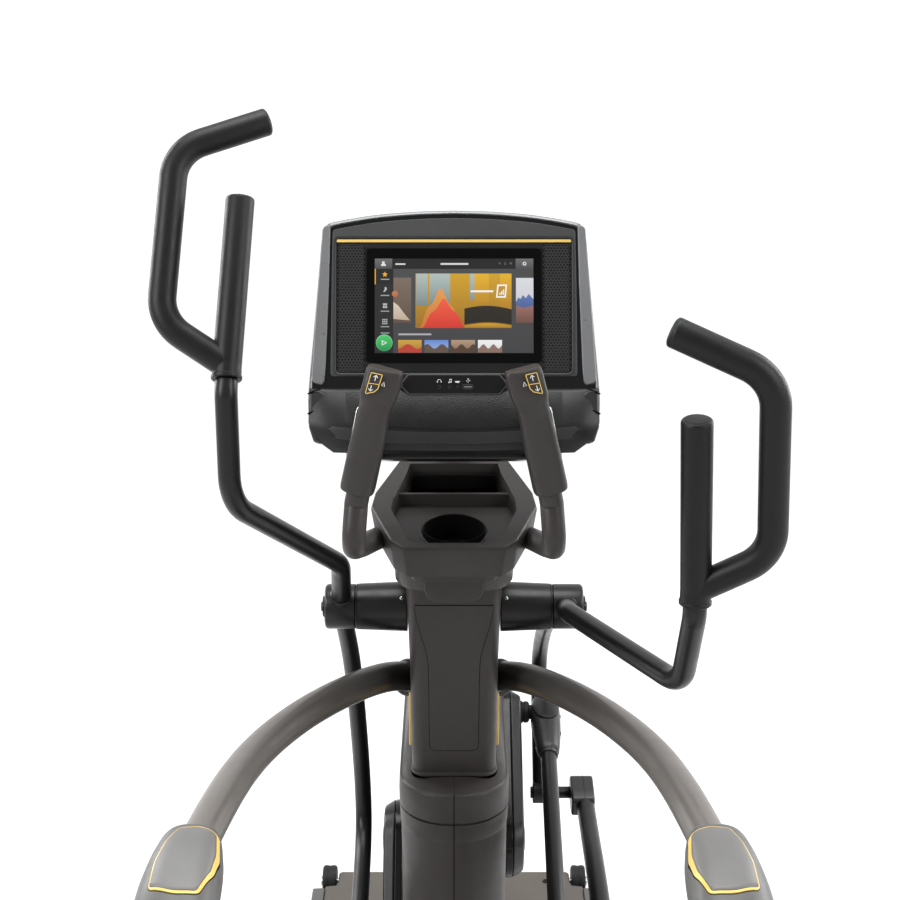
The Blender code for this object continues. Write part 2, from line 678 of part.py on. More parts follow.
def make_console(post_path):
    foot = from_axle(0, *CONSOLE_FOOT)
    frame = Matrix.Translation(foot) @ Matrix.Rotation(-CONSOLE_TILT, 4, "X")

    back_rings = []
    for depth, shrink in ((FACE_DEPTH, 1.0), (0.035, 1.0), (0.060, 0.95), (CONSOLE_DEPTH, 0.84)):
        ring = [Vector((x * shrink, depth, 0.16 + (z - 0.16) * shrink)) for x, z in console_outline()]
        back_rings.append(ring)
    solid("console_shell", loft(back_rings), "charcoal", foot, frame)
    back = FACE_DEPTH - GAP
    outline = console_outline(0.001, SHELF_TOP)
    face_shape = loft([[Vector((x, y, z)) for x, z in outline] for y in (0.0, back)])
    face = solid("console_bezel", face_shape, "charcoal", foot, frame)
    low, high = GLASS_HEIGHTS
    combine(face, [box((-GLASS_HALF, -0.02, low), (GLASS_HALF, 0.05, high))], "DIFFERENCE", frame)
    glass_half = GLASS_HALF - GAP
    glass = box((-glass_half, 0.002, low + GAP), (glass_half, back, high - GAP))
    solid("display", glass, "glass", foot, frame)
    shelf_top = SHELF_TOP - GAP
    profile = [(back, shelf_top), (0.0, shelf_top), (-0.010, 0.078), (-0.030, 0.036)]
    profile += [(-0.030, 0.014), (-0.020, -0.004), (back, 0.0)]
    half = CONSOLE_HALF_LOW - 0.0005
    shelf_rings = [[Vector((x, y, z)) for y, z in profile] for x in (-half, half)]
    shelf = solid("console_shelf", loft(shelf_rings), "charcoal", foot, frame)
    soften(shelf, 0.004, 1, 20)

    plate = box((-0.055, CONSOLE_DEPTH + GAP, 0.060), (0.055, CONSOLE_DEPTH + 0.012, 0.170))
    bracket = solid("console_bracket", plate, "satin_black", matrix=frame)
    plate_middle = frame @ Vector((0, CONSOLE_DEPTH + 0.008, 0.110))
    post_end, before_end = post_path[-1], post_path[-2]
    along = (post_end - before_end).normalized()
    socket = tube([plate_middle, post_end - along * 0.010, post_end - along * 0.045], 0.034, 16)
    combine(bracket, [socket], "UNION")
    console_room = box((-0.1, -0.1, -0.1), (0.1, CONSOLE_DEPTH + GAP, 0.4))
    combine(bracket, [console_room], "DIFFERENCE", frame)
    post_room = tube([*post_path[:-1], post_end + along * GAP], POST_TUBE + GAP, 12)
    combine(bracket, [post_room], "DIFFERENCE")


def make_axle():
    centre = from_axle(0, 0, AXLE_Z)
    solid("axle_shaft", disc(-0.2125, 0.2125, AXLE_RADIUS, centre, 20, 0.001), "steel", centre)
    for name, side in SIDES:
        bore = AXLE_RADIUS + 0.0012
        profile = [(0.0785, bore), (0.0785, 0.0415), (0.160, 0.0380), (0.1637, 0.0365), (0.1637, bore)]
        casing = [(side * x, radius) for x, radius in profile]
        solid(f"axle_casing_{name}", turned(casing, centre, 24), "satin_black")


def make_arm(link):
    """One swing arm: hub, bent upper and lower tubes, rubber grip with its loop, and the foot pin."""
    name = "right" if link.side > 0 else "left"
    pivot = from_axle(0, 0, AXLE_Z)

    def carried(points):
        return [swung(p, link.side, link.swing) for p in points]

    hub_profile = [(HUB[0], 0), (HUB[0], HUB_RADIUS - 0.001), (HUB[0] + 0.001, HUB_RADIUS)]
    hub_profile += [(HUB[1] - 0.006, HUB_RADIUS), (HUB[1], 0.031), (HUB[1], 0)]
    hub = turned([(link.side * x, r) for x, r in hub_profile], pivot, 24)
    arm = solid(f"arm_tube_{name}", hub, "satin_black", pivot)
    tube_end, sleeve_start = Vector(ARM_UPPER_POINTS[-1]), Vector(SLEEVE_POINTS[0])
    seam = tube_end.lerp(sleeve_start, SLEEVE_SEAM)
    seam_gap = (sleeve_start - tube_end).normalized() * 2 * GAP
    upper = tube(filleted(carried([*ARM_UPPER_POINTS, seam]), 0.075, 3), ARM_TUBE, 10)
    lower = tube(smooth_path(carried(ARM_LOWER_POINTS), 4), LOWER_ARM_TUBE, 10)
    foot = from_axle(0, *link.arm_pin)
    boss = disc(link.side * 0.1545, link.side * 0.187, 0.021, foot, 16)
    combine(arm, [upper, lower, boss], "UNION")
    near, far = link.side * 0.10, link.side * 0.30
    bores = [disc(near, far, AXLE_RADIUS + GAP, pivot, 20), disc(near, far, PIN_RADIUS + GAP, foot, 16)]
    combine(arm, bores, "DIFFERENCE")

    sleeve_path = filleted(carried([seam + seam_gap, *SLEEVE_POINTS]), 0.05, 2)
    sleeve = solid(f"arm_grip_{name}", tube(sleeve_path, ARM_SLEEVE, 10), "rubber", pivot)
    loop = tube(filleted(carried(LOOP_POINTS), 0.062, 4), ARM_SLEEVE * 0.995, 10)
    combine(sleeve, [loop], "UNION")

    cap = disc(link.side * (HUB[1] + GAP), link.side * (HUB[1] + 0.007), 0.017, pivot, 16, 0.0015)
    solid(f"hub_cap_{name}", cap, "satin_black", pivot)
    pin = disc(link.side * 0.152, link.side * 0.2515, PIN_RADIUS, foot, 16)
    solid(f"foot_pin_{name}", pin, "steel", foot)


def make_foot(link):
    """Foot member from the arm's pin back to the control link, and its pedal."""
    name = "right" if link.side > 0 else "left"
    origin = from_axle(0, *link.arm_pin)
    route = [(0.0, 0.0), (0.12, 0.012), (0.34, 0.040), (0.56, 0.034), (0.72, 0.0), (FOOT_MEMBER_LENGTH, 0.0)]
    middle = sum(FOOT_LAYER) / 2
    path = smooth_path([side_point(link.side, middle, link.on_member(back, up)) for back, up in route], 3)
    member = solid(f"foot_member_{name}", tube(path, FOOT_TUBE, 10), "satin_black", origin)
    clevis = disc(link.side * 0.2368, link.side * 0.2695, 0.026, origin, 20, 0.002)
    near, far = link.side * FOOT_LAYER[0], link.side * FOOT_LAYER[1]
    rear_boss = disc(near, far, 0.022, from_axle(0, *link.link_pin), 16)
    web_low = link.on_member(ROD_JOINT[0] - 0.01, 0.034)
    web_outline = capsule(web_low, link.rod_pin, 0.016, 0.0195)
    web = prism(web_outline, link.side * 0.240, link.side * 0.262)
    rod_pin = disc(link.side * 0.192, link.side * 0.250, 0.009, from_axle(0, *link.rod_pin), 12)
    combine(member, [clevis, rear_boss, web, rod_pin], "UNION")
    pin_bore = disc(link.side * 0.20, link.side * 0.252, PIN_RADIUS + GAP, origin, 16)
    combine(member, [pin_bore], "DIFFERENCE")

    def pedal_place(x, along, height):
        back = PEDAL_BACK + along * math.cos(PEDAL_LEAN) + height * math.sin(PEDAL_LEAN)
        up = height * math.cos(PEDAL_LEAN) - along * math.sin(PEDAL_LEAN)
        return side_point(link.side, x, link.on_member(back, up))

    plan = [
        (0.052, 0.175),
        (0.217, 0.175),
        (0.2245, 0.160),
        (0.2245, -0.120),
        (0.195, -0.165),
        (0.090, -0.175),
        (0.050, -0.130),
        (0.045, 0.150),
    ]
    heights = (-0.010, 0.014, 0.034)
    middle_x = 0.135
    rings = [[pedal_place(x, along, h) for x, along in plan] for h in heights]
    pedal = solid(f"pedal_{name}", loft(rings), "rubber", origin)
    well_plan = [(middle_x + (x - middle_x) * 0.90, along * 0.95) for x, along in plan]
    well = loft([[pedal_place(x, along, h) for x, along in well_plan] for h in (0.012, 0.06)])
    combine(pedal, [well], "DIFFERENCE")
    lug_plan = [(0.215, 0.12), (0.2372, 0.12), (0.2372, -0.10), (0.215, -0.10)]
    lug = loft([[pedal_place(x, along, h) for x, along in lug_plan] for h in (-0.008, 0.010)])
    combine(pedal, [lug], "UNION")


def make_control_link(link):
    name = "right" if link.side > 0 else "left"
    origin = from_axle(0, *LINK_PIVOT)
    near, far = link.side * LINK_LAYER[0], link.side * LINK_LAYER[1]
    shape = prism(capsule(LINK_PIVOT, link.link_pin, 0.021, 0.021), near, far)
    bar = solid(f"control_link_{name}", shape, "satin_black", origin)
    bore = disc(near - link.side * 0.01, far + link.side * 0.01, 0.0125, origin, 16)
    combine(bar, [bore], "DIFFERENCE")


def make_cranks(links):
    hub = from_axle(0, *CRANK)
    axle = disc(-0.1325, 0.1325, CRANK_AXLE_RADIUS, hub, BEARING_SIDES, 0.001)
    solid("crank_axle", axle, "steel", hub)
    for link in links:
        name = "right" if link.side > 0 else "left"
        side = link.side
        near, far = side * CRANK_LAYER[0], side * CRANK_LAYER[1]
        plate = prism(capsule(CRANK, link.crank_pin, 0.072, 0.043), near, far)
        crank = solid(f"crank_arm_{name}", plate, "satin_black", hub)
        soften(crank, 0.004, 1, 60)
        pin_centre = from_axle(0, *link.crank_pin)
        knob = disc(side * 0.126, side * 0.1515, 0.021, pin_centre, 16)
        stem = disc(side * 0.14, side * 0.2025, CRANK_PIN_RADIUS, pin_centre, BEARING_SIDES)
        combine(crank, [knob, stem], "UNION")
        bore = disc(near - side * 0.01, far + side * 0.01, CRANK_AXLE_BORE, hub, BEARING_SIDES)
        combine(crank, [bore], "DIFFERENCE")
    low, high = BELT_LAYER
    pulley = ring_disc(low, high, CRANK_AXLE_BORE, PULLEY_RADIUS, hub, BEARING_SIDES)
    solid("drive_pulley", pulley, "iron", hub)


def make_rod(link):
    """Connecting rod: teardrop head on the crank pin, round tube, and the eye that meets the foot member."""
    name = "right" if link.side > 0 else "left"
    origin = from_axle(0, *link.crank_pin)
    start = side_point(link.side, 0.176, link.crank_pin)
    end = side_point(link.side, 0.168, link.rod_pin)
    rod = solid(f"rod_{name}", tube([start, end], ROD_TUBE, 12), "satin_black", origin)
    heading = Vector(link.rod_pin) - Vector(link.crank_pin)
    tip = Vector(link.crank_pin) + heading.normalized() * 0.105
    side = link.side
    head = prism(capsule(link.crank_pin, tuple(tip), 0.034, 0.017), side * ROD_LAYER[0], side * ROD_LAYER[1])
    eye_centre = from_axle(0, *link.rod_pin)
    eye = disc(side * ROD_END_LAYER[0], side * ROD_END_LAYER[1], 0.021, eye_centre, 16)
    combine(rod, [head, eye], "UNION")
    bore = disc(side * 0.14, side * 0.22, CRANK_PIN_RADIUS + GAP, origin, BEARING_SIDES)
    combine(rod, [bore], "DIFFERENCE")


def make_flywheel():
    centre = from_axle(0, *FLYWHEEL)
    rim, web = FLYWHEEL_RADIUS, FLYWHEEL_RADIUS - 0.02
    profile = [(-0.034, 0), (-0.034, 0.008), (BELT_LAYER[0], 0.008), (BELT_LAYER[0], FLYWHEEL_PULLEY)]
    profile += [(BELT_LAYER[1], FLYWHEEL_PULLEY), (BELT_LAYER[1], 0.008), (0.018, 0.008), (0.018, web)]
    profile += [(0.012, web), (0.012, rim), (0.046, rim), (0.046, web), (0.034, web), (0.034, 0.012)]
    profile += [(0.050, 0.012), (0.050, 0)]
    solid("flywheel", turned(profile, centre, 24), "iron", centre)

    def loop(clearance, margin):
        outline = capsule(CRANK, FLYWHEEL, PULLEY_RADIUS + clearance, FLYWHEEL_PULLEY + clearance, 16)
        return prism(outline, BELT_LAYER[0] - margin, BELT_LAYER[1] + margin)

    belt = solid("drive_belt", loop(BELT_INSIDE + BELT_THICKNESS, -0.001), "rubber")
    combine(belt, [loop(BELT_INSIDE, 0.01)], "DIFFERENCE")


def main():
    clear_scene()
    make_base()
    post_path = make_mast()
    make_shroud()
    make_arches()
    make_tray(post_path)
    make_handles()
    make_console(post_path)
    make_axle()
    links = [Linkage(side) for _, side in SIDES]
    make_cranks(links)
    make_flywheel()
    for link in links:
        make_arm(link)
        make_rod(link)
        make_foot(link)
        make_control_link(link)


main()
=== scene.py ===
"""Looks of the elliptical trainer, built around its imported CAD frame. Metres, +Z up, the user stands at -Y."""

import json
from math import acos, atan2, copysign, cos, dist, pi, radians, sin, sqrt, tan

import bmesh
import bpy
from mathutils import Matrix, Vector


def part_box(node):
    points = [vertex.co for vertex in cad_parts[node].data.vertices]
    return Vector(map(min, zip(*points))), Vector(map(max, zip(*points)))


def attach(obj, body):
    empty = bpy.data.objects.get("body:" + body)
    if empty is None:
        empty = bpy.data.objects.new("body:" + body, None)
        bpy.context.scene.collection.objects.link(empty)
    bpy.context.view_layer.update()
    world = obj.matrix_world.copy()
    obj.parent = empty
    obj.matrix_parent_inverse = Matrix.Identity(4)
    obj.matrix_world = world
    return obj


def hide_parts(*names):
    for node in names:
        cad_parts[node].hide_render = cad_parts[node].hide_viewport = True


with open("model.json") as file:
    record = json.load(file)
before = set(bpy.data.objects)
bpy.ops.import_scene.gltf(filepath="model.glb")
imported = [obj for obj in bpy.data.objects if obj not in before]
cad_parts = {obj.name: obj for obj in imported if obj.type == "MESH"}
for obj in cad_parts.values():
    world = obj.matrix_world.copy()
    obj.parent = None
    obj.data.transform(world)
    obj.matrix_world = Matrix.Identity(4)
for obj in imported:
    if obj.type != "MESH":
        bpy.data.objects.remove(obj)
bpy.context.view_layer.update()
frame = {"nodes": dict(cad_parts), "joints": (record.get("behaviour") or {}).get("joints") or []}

JOINTS = {joint["name"]: Vector(joint["pos_m"]) for joint in frame["joints"]}
AXLE = JOINTS["swing_arm_right_pivot"]
CRANK = JOINTS["crank_turn"]
HANGER = JOINTS["hanger_right_pivot"]
SIDES = (("right", 1), ("left", -1))
X_AXIS, Z_AXIS = Vector((1, 0, 0)), Vector((0, 0, 1))

# Frames whose X and Y lie in a plane and whose Z is the direction that prisms are raised in.
SIDE = Matrix(((0, 0, 1, 0), (1, 0, 0, AXLE.y), (0, 1, 0, 0), (0, 0, 0, 1)))
FRONT = Matrix(((1, 0, 0, 0), (0, 0, -1, AXLE.y), (0, 1, 0, 0), (0, 0, 0, 1)))
PLAN = Matrix.Translation((0, AXLE.y, 0))

ARM_SWING = radians(16.4)
CONSOLE_TILT = radians(19.6)


# ---------------------------------------------------------------- materials


def shade(red, green, blue):
    """Linear colour of 8-bit display values."""
    return tuple((v / 255 / 12.92) if v <= 10 else ((v / 255 + 0.055) / 1.055) ** 2.4 for v in (red, green, blue))


def add(tree, kind, **settings):
    """A new shader node. A capital starts an input's name (_ for a space), which gets a link or a value."""
    made = tree.nodes.new("ShaderNode" + kind)
    return put(tree, made, **settings)


def put(tree, made, **settings):
    for name, value in settings.items():
        if name[0].islower():
            setattr(made, name, value)
        elif isinstance(value, bpy.types.NodeSocket):
            tree.links.new(value, made.inputs[name.replace("_", " ")])
        else:
            made.inputs[name.replace("_", " ")].default_value = value
    return made


def ramp(tree, factor, low, high, start=0, end=1):
    made = add(tree, "ValToRGB", Fac=factor)
    for element, place, colour in zip(made.color_ramp.elements, (start, end), (low, high)):
        element.position, element.color = place, (*colour, 1)
    return made.outputs["Color"]


def object_look(name):
    """A new node material, its shader, and the place on the object that its textures go by."""
    made = bpy.data.materials.new(name)
    made.use_nodes = True
    tree = made.node_tree
    return made, tree, tree.nodes["Principled BSDF"], add(tree, "TexCoord").outputs["Object"]


def surface_look(
    name, colour, rough, metal=0, mottle=0.08, grain=900, bump=0.15, depth=0.0002, cells=False, stretch=None,
    shine=0.35, painted_shade_span=None
):
    """A finish with fine grain in relief, and slow drifts of tone and gloss. It can also carry a painted shade, darker
    towards the middle of the machine.
    """
    made, tree, shader, source = object_look(name)
    drift = add(tree, "TexNoise", Vector=source, Scale=TONE_SCALE, Detail=4.0).outputs["Fac"]
    low, high = ([min(1, c * (1 + change)) for c in colour] for change in (-mottle, mottle))
    tone = ramp(tree, drift, low, high, *NOISE_SPAN)
    if painted_shade_span:
        # painted shade: darker towards the middle of the machine, where less light falls on it
        across = add(tree, "SeparateXYZ", Vector=source).outputs["X"]
        away = add(tree, "Math", operation="ABSOLUTE", Value=across).outputs["Value"]
        reach = add(tree, "MapRange", Value=away, From_Min=painted_shade_span[0], From_Max=painted_shade_span[1], To_Min=PAINTED_SHADE_DARKEST).outputs["Result"]
        painted_shade_mix = add(tree, "Mix", data_type="RGBA", Factor=reach, A=(0, 0, 0, 1), B=tone)
        tone = painted_shade_mix.outputs["Result"]

    wear = add(tree, "TexNoise", Vector=source, Scale=WEAR_SCALE, Detail=6.0).outputs["Fac"]
    gloss = add(
        tree, "MapRange", Value=wear, From_Min=NOISE_SPAN[0], From_Max=NOISE_SPAN[1],
        To_Min=max(0.02, rough - GLOSS_DRIFT), To_Max=rough + GLOSS_DRIFT
    )
    if stretch:
        source = add(tree, "Mapping", Scale=stretch, Vector=source).outputs["Vector"]
    if cells:
        height = add(tree, "TexVoronoi", Scale=grain, Vector=source).outputs["Distance"]
    else:
        height = add(tree, "TexNoise", Detail=3.0, Scale=grain, Vector=source).outputs["Fac"]
    relief = add(tree, "Bump", Strength=bump, Distance=depth, Height=height)
    put(
        tree, shader, Base_Color=tone, Roughness=gloss.outputs["Result"], Normal=relief.outputs["Normal"],
        Metallic=metal, Specular_IOR_Level=shine
    )
    return made


def lit_look(name, top, bottom, low, high):
    """A lit patch of the display that blends from one colour to another up the panel."""
    made, tree, shader, source = object_look(name)
    up = add(tree, "SeparateXYZ", Vector=source).outputs["Z"]
    reach = add(tree, "MapRange", Value=up, From_Min=low, From_Max=high).outputs["Result"]
    put(
        tree, shader, Emission_Color=ramp(tree, reach, bottom, top), Emission_Strength=1,
        Base_Color=(0.004, 0.004, 0.004, 1), Roughness=0.3
    )
    return made


TONE_SCALE, WEAR_SCALE = 9.0, 42.0  # how fine the drifts of tone and of gloss are
NOISE_SPAN = (0.3, 0.7)  # where most values of a noise lie
GLOSS_DRIFT = 0.05
PAINTED_SHADE_DARKEST = 0.16  # share of its colour that the painted shade keeps where it is darkest

FINISHES = {
    # name: (the record's slot, linear colour, roughness, further settings)
    "satin_black": ("satin_black", (0.0045, 0.0045, 0.0047), 0.33, dict(bump=0.08, grain=1500, shine=0.32)),
    "gloss_black": ("satin_black", (0.003, 0.003, 0.0032), 0.22, dict(bump=0.03, shine=0.3)),
    "grip_rubber": ("rubber", (0.0036, 0.0036, 0.0037), 0.42, dict(grain=2600, bump=0.25, cells=True, shine=0.26)),
    "rubber": ("rubber", (0.0075, 0.0075, 0.0078), 0.62, dict(grain=1800, bump=0.4, shine=0.3)),
    "warm_grey": ("warm_grey", (0.0245, 0.0208, 0.0192), 0.44, dict(grain=1900, bump=0.2)),
    "mast_grey": ("mast_grey", (0.0235, 0.0222, 0.0204), 0.46, dict(grain=1900, bump=0.22)),
    # the gunmetal arches carry a painted shade, darker near the mast
    "gunmetal": (
        "gunmetal", (0.185, 0.17, 0.158), 0.34, dict(metal=0.5, mottle=0.03, grain=500, bump=0.03, painted_shade_span=(0.1, 0.31))
    ),
    "housing_grey": ("housing_grey", (0.088, 0.087, 0.085), 0.42, dict(grain=1700, bump=0.2)),
    "pad_grey": ("housing_grey", (0.135, 0.134, 0.13), 0.4, dict(grain=1700, bump=0.2)),
    "base_grey": ("base_grey", (0.09, 0.078, 0.068), 0.45, dict(grain=1500, bump=0.2)),
    "charcoal": ("charcoal", (0.0068, 0.0068, 0.0072), 0.4, dict(grain=2100, bump=0.2, shine=0.28)),
    "part_grey": ("charcoal", (0.0165, 0.0166, 0.0172), 0.36, dict(grain=2100, bump=0.2, shine=0.4)),
    # the collar is a lighter copy of the mast grey: painted light, for the light that falls on its top
    "collar_painted_light_grey": ("mast_grey", (0.044, 0.0425, 0.0405), 0.4, dict(grain=1900, bump=0.2)),
    "leather_grain": (
        "charcoal", (0.0055, 0.0055, 0.0057), 0.42, dict(grain=520, bump=0.5, depth=0.0005, cells=True, shine=0.3)
    ),
    "trim_grey": ("charcoal", (0.15, 0.152, 0.156), 0.3, dict(metal=0.25, grain=2400, bump=0.1, shine=0.5)),
    "band_grey": ("charcoal", (0.048, 0.0485, 0.0495), 0.34, dict(metal=0.15, grain=2100, bump=0.15)),
    "screen_glass": ("glass", (0.0008, 0.0008, 0.0009), 0.12, dict(bump=0.01, shine=0.12)),
    "gold": (None, (0.68, 0.46, 0.12), 0.38, dict(metal=0.1, mottle=0.05, grain=2400, bump=0.08)),
    "white_print": (None, (0.62, 0.62, 0.6), 0.55, dict(grain=2400, bump=0.1)),
    # near black, for seams and dark joints; the phone pocket and the cup holder also use it as painted shade
    "seam": (None, (0.0016, 0.0015, 0.0014), 0.75, dict(grain=1500, bump=0.2, shine=0.1)),
    "steel": ("steel", (0.42, 0.42, 0.42), 0.25, dict(metal=1, grain=500, bump=0.1, stretch=(40, 4, 4))),
    "bright_strip": ("steel", (0.86, 0.86, 0.86), 0.2, dict(metal=1, grain=420, bump=0.05, stretch=(30, 30, 1.5))),
    "iron": ("iron", (0.1, 0.1, 0.105), 0.42, dict(metal=0.9, grain=700, bump=0.2)),
}
LOOKS = {
    name: (surface_look(name, colour, rough, **more), slot) for name, (slot, colour, rough, more) in FINISHES.items()
}


# ---------------------------------------------------------------- shapes: (points, faces)


def at(x, y, z):
    """A place given fore and aft from the swing axle."""
    return Vector((x, AXLE.y + y, z))


def loft(rings, closed=False):
    """Skins rings of points, and caps the ends unless they join up."""
    count = len(rings[0])
    points = [Vector(p) for ring in rings for p in ring]
    faces = []
    for i in range(len(rings) if closed else len(rings) - 1):
        first, second = i * count, ((i + 1) % len(rings)) * count
        for k in range(count):
            after = (k + 1) % count
            faces.append((first + k, first + after, second + after, second + k))
    if not closed:
        faces += [tuple(range(count)), tuple(range(len(points) - count, len(points)))]
    return points, faces


def turn(count):
    """Even angles round a full turn."""
    return [2 * pi * k / count for k in range(count)]


def tube(path, radius, sides=28, ends=(0.0015, 0.0015), flat=1):
    """A round bar along a path, with rounded rims. The radius is one number or one for each point."""
    path = [Vector(p) for p in path]
    radii = list(radius) if isinstance(radius, (list, tuple)) else [radius] * len(path)
    stations = list(zip(path, radii))
    for index, beside, rim in ((0, 1, ends[0]), (-1, -2, ends[1])):
        if not rim:
            continue
        place, r = stations[index]
        inward = (stations[beside][0] - place).normalized()
        arc = []
        for k in range(5):
            a = pi / 2 * k / 4
            arc.append((place + inward * rim * (1 - cos(a)), r - rim + rim * sin(a)))
        stations = arc + stations[1:] if index == 0 else stations[:-1] + arc[::-1]
    across, rings = None, []
    for i, (place, r) in enumerate(stations):
        ahead = (stations[min(i + 1, len(stations) - 1)][0] - stations[max(i - 1, 0)][0]).normalized()
        across = ahead.orthogonal().normalized() if across is None else across
        across = (across - ahead * across.dot(ahead)).normalized()
        other = ahead.cross(across) * flat
        rings.append([place + (across * cos(a) + other * sin(a)) * r for a in turn(sides)])
    return loft(rings)


def lathe(profile, centre, axis=X_AXIS, sides=56, closed=None):
    """Turns (distance along the axis, radius) points. A profile off the axis closes on itself."""
    closed = all(r > 0 for _, r in profile) if closed is None else closed
    centre, axis = Vector(centre), Vector(axis).normalized()
    across = axis.orthogonal().normalized()
    other = axis.cross(across)
    rings = []
    for along, r in profile:
        if r > 0:
            hub = centre + axis * along
            rings.append([hub + (across * cos(a) + other * sin(a)) * r for a in turn(sides)])
    return loft(rings, closed)


def prism(outline, low, high, matrix=PLAN, top_scale=1):
    """Raises an outline between two heights over a frame."""
    middle = Vector((sum(p[0] for p in outline), sum(p[1] for p in outline))) / len(outline)
    rings = []
    for z, scale in ((low, 1), (high, top_scale)):
        spread = [(middle.x + (x - middle.x) * scale, middle.y + (y - middle.y) * scale) for x, y in outline]
        rings.append([matrix @ Vector((x, y, z)) for x, y in spread])
    return loft(rings)


def fillet(points, radius, steps=5, closed=True):
    """Replaces each corner of an outline or path with an arc."""
    flat = len(points[0]) == 2
    points = [Vector((*p, 0)) if flat else Vector(p) for p in points]
    radii = radius if isinstance(radius, (list, tuple)) else [radius] * len(points)
    made = []
    for i, corner in enumerate(points):
        if not closed and i in (0, len(points) - 1):
            made.append(corner)
            continue
        before, after = points[i - 1], points[(i + 1) % len(points)]
        incoming, outgoing = (before - corner).normalized(), (after - corner).normalized()
        half = incoming.angle(outgoing) / 2
        if half > radians(89.5) or radii[i] == 0:
            made += [corner] * (steps + 1) if closed else [corner]
            continue
        reach = min(radii[i] / tan(half), 0.48 * (before - corner).length, 0.48 * (after - corner).length)
        bend = reach * tan(half)
        middle = corner + (incoming + outgoing).normalized() * (bend / sin(half))
        start, end = corner + incoming * reach - middle, corner + outgoing * reach - middle
        sweep = start.angle(end)
        for k in range(steps + 1):
            t = k / steps
            made.append(middle + (start * sin((1 - t) * sweep) + end * sin(t * sweep)) / sin(sweep))
    return [(p.x, p.y) for p in made] if flat else made


def mirrored(half):
    """A closed outline from the points of its right half, listed from one end of the middle line to the other."""
    return list(half) + [(-x, y) for x, y in reversed(half) if abs(x) > 1e-6]


def smooth(points, steps=8):
    """A Catmull-Rom curve through the points."""
    points = [Vector(p) for p in points]
    ends = [2 * points[0] - points[1], *points, 2 * points[-1] - points[-2]]
    path = []
    for a, b, c, d in zip(ends, ends[1:], ends[2:], ends[3:]):
        for k in range(steps):
            t = k / steps
            bend = (2 * a - 5 * b + 4 * c - d) * t**2 + (3 * b - a - 3 * c + d) * t**3
            path.append(0.5 * (2 * b + (c - a) * t + bend))
    return [*path, points[-1]]


def curve(points, steps):
    """A smooth curve through the points of an outline."""
    return [(p.x, p.y) for p in smooth([(x, y, 0) for x, y in points], steps)]


def placed(matrix, outline, height):
    """An outline's points on a frame, at one height over it."""
    return [matrix @ Vector((x, y, height)) for x, y in outline]


def band(path, width, thick, normal, closed=False):
    """A flat strip along a path, with its face to the normal. The path is the middle of its underside."""
    path = [Vector(p) for p in path]
    normals = normal if isinstance(normal, list) else [Vector(normal).normalized()] * len(path)
    rings = []
    for i, place in enumerate(path):
        if closed:
            ahead = path[(i + 1) % len(path)] - path[i - 1]
        else:
            ahead = path[min(i + 1, len(path) - 1)] - path[max(i - 1, 0)]
        up = normals[i]
        out = ahead.cross(up).normalized() * width / 2
        rings.append([place - out, place + out, place + out + up * thick, place - out + up * thick])
    return loft(rings, closed=closed)


def capsule(first, second, first_radius, second_radius, steps=24):
    """The outline round two circles."""
    along = Vector((second[0] - first[0], second[1] - first[1]))
    heading = atan2(along.y, along.x)
    lean = acos((first_radius - second_radius) / along.length)
    outline = []
    for k in range(steps + 1):
        a = heading + lean + (2 * pi - 2 * lean) * k / steps
        outline.append((first[0] + first_radius * cos(a), first[1] + first_radius * sin(a)))
    for k in range(steps + 1):
        a = heading - lean + 2 * lean * k / steps
        outline.append((second[0] + second_radius * cos(a), second[1] + second_radius * sin(a)))
    return outline


def circle(centre, radius, steps=32):
    return [(centre[0] + radius * cos(a), centre[1] + radius * sin(a)) for a in turn(steps)]


def rectangle(x0, y0, x1, y1, radius=0, steps=4):
    outline = [(x1, y1), (x0, y1), (x0, y0), (x1, y0)]
    return fillet(outline, radius, steps) if radius else outline


def level_ring(half_x, y0, y1, radius, z, steps=8):
    """A level rectangle with round corners, as a ring."""
    return [at(x, y, z) for x, y in rectangle(-half_x, y0, half_x, y1, radius, steps)]


def superellipse(angle, power):
    """A place on a circle that gets squarer as the power grows."""
    c, s = cos(angle), sin(angle)
    return copysign(abs(c) ** (2 / power), c), copysign(abs(s) ** (2 / power), s)


def centre_of(outline):
    return [sum(p[i] for p in outline) / len(outline) for i in (0, 1)]


def scaled(surface, outline, scales, lift):
    """An outline on a surface(s, a, offset), drawn in or out round its middle by one scale for each point."""
    s0, a0 = centre_of(outline)
    return [surface(s0 + (s - s0) * k, a0 + (a - a0) * k, lift) for (s, a), k in zip(outline, scales)]


def raised(surface, outline, height, scales=(1, 0.97, 0.9, 0.7, 0.4, 0.1)):
    """A low pad on a surface(s, a, offset), over an outline in s and a."""
    rings = [scaled(surface, outline, [1] * len(outline), -0.001)]
    for scale in scales:
        lift = height * (0.2 if scale == 1 else 1)
        rings.append(scaled(surface, outline, [scale] * len(outline), lift))
    return loft(rings)


def outlined(surface, outline, inner, outer, height):
    """A raised border on a surface, between two scales of an outline."""
    steps = ((inner, -0.0008), (outer, -0.0008), (outer, height), (inner, height))
    sides = [scaled(surface, outline, [scale] * len(outline), lift) for scale, lift in steps]
    return loft([list(ring) for ring in zip(*sides)], closed=True)


def facing(along, normal, place):
    """A frame at a place, with Y along one direction and Z near the normal."""
    across = along.cross(normal).normalized()
    outward = across.cross(along).normalized()
    return Matrix.Translation(place) @ Matrix((across, along.normalized(), outward)).transposed().to_4x4()


# ---------------------------------------------------------------- pieces


TOUCHING = 1e-6  # points this close are one point


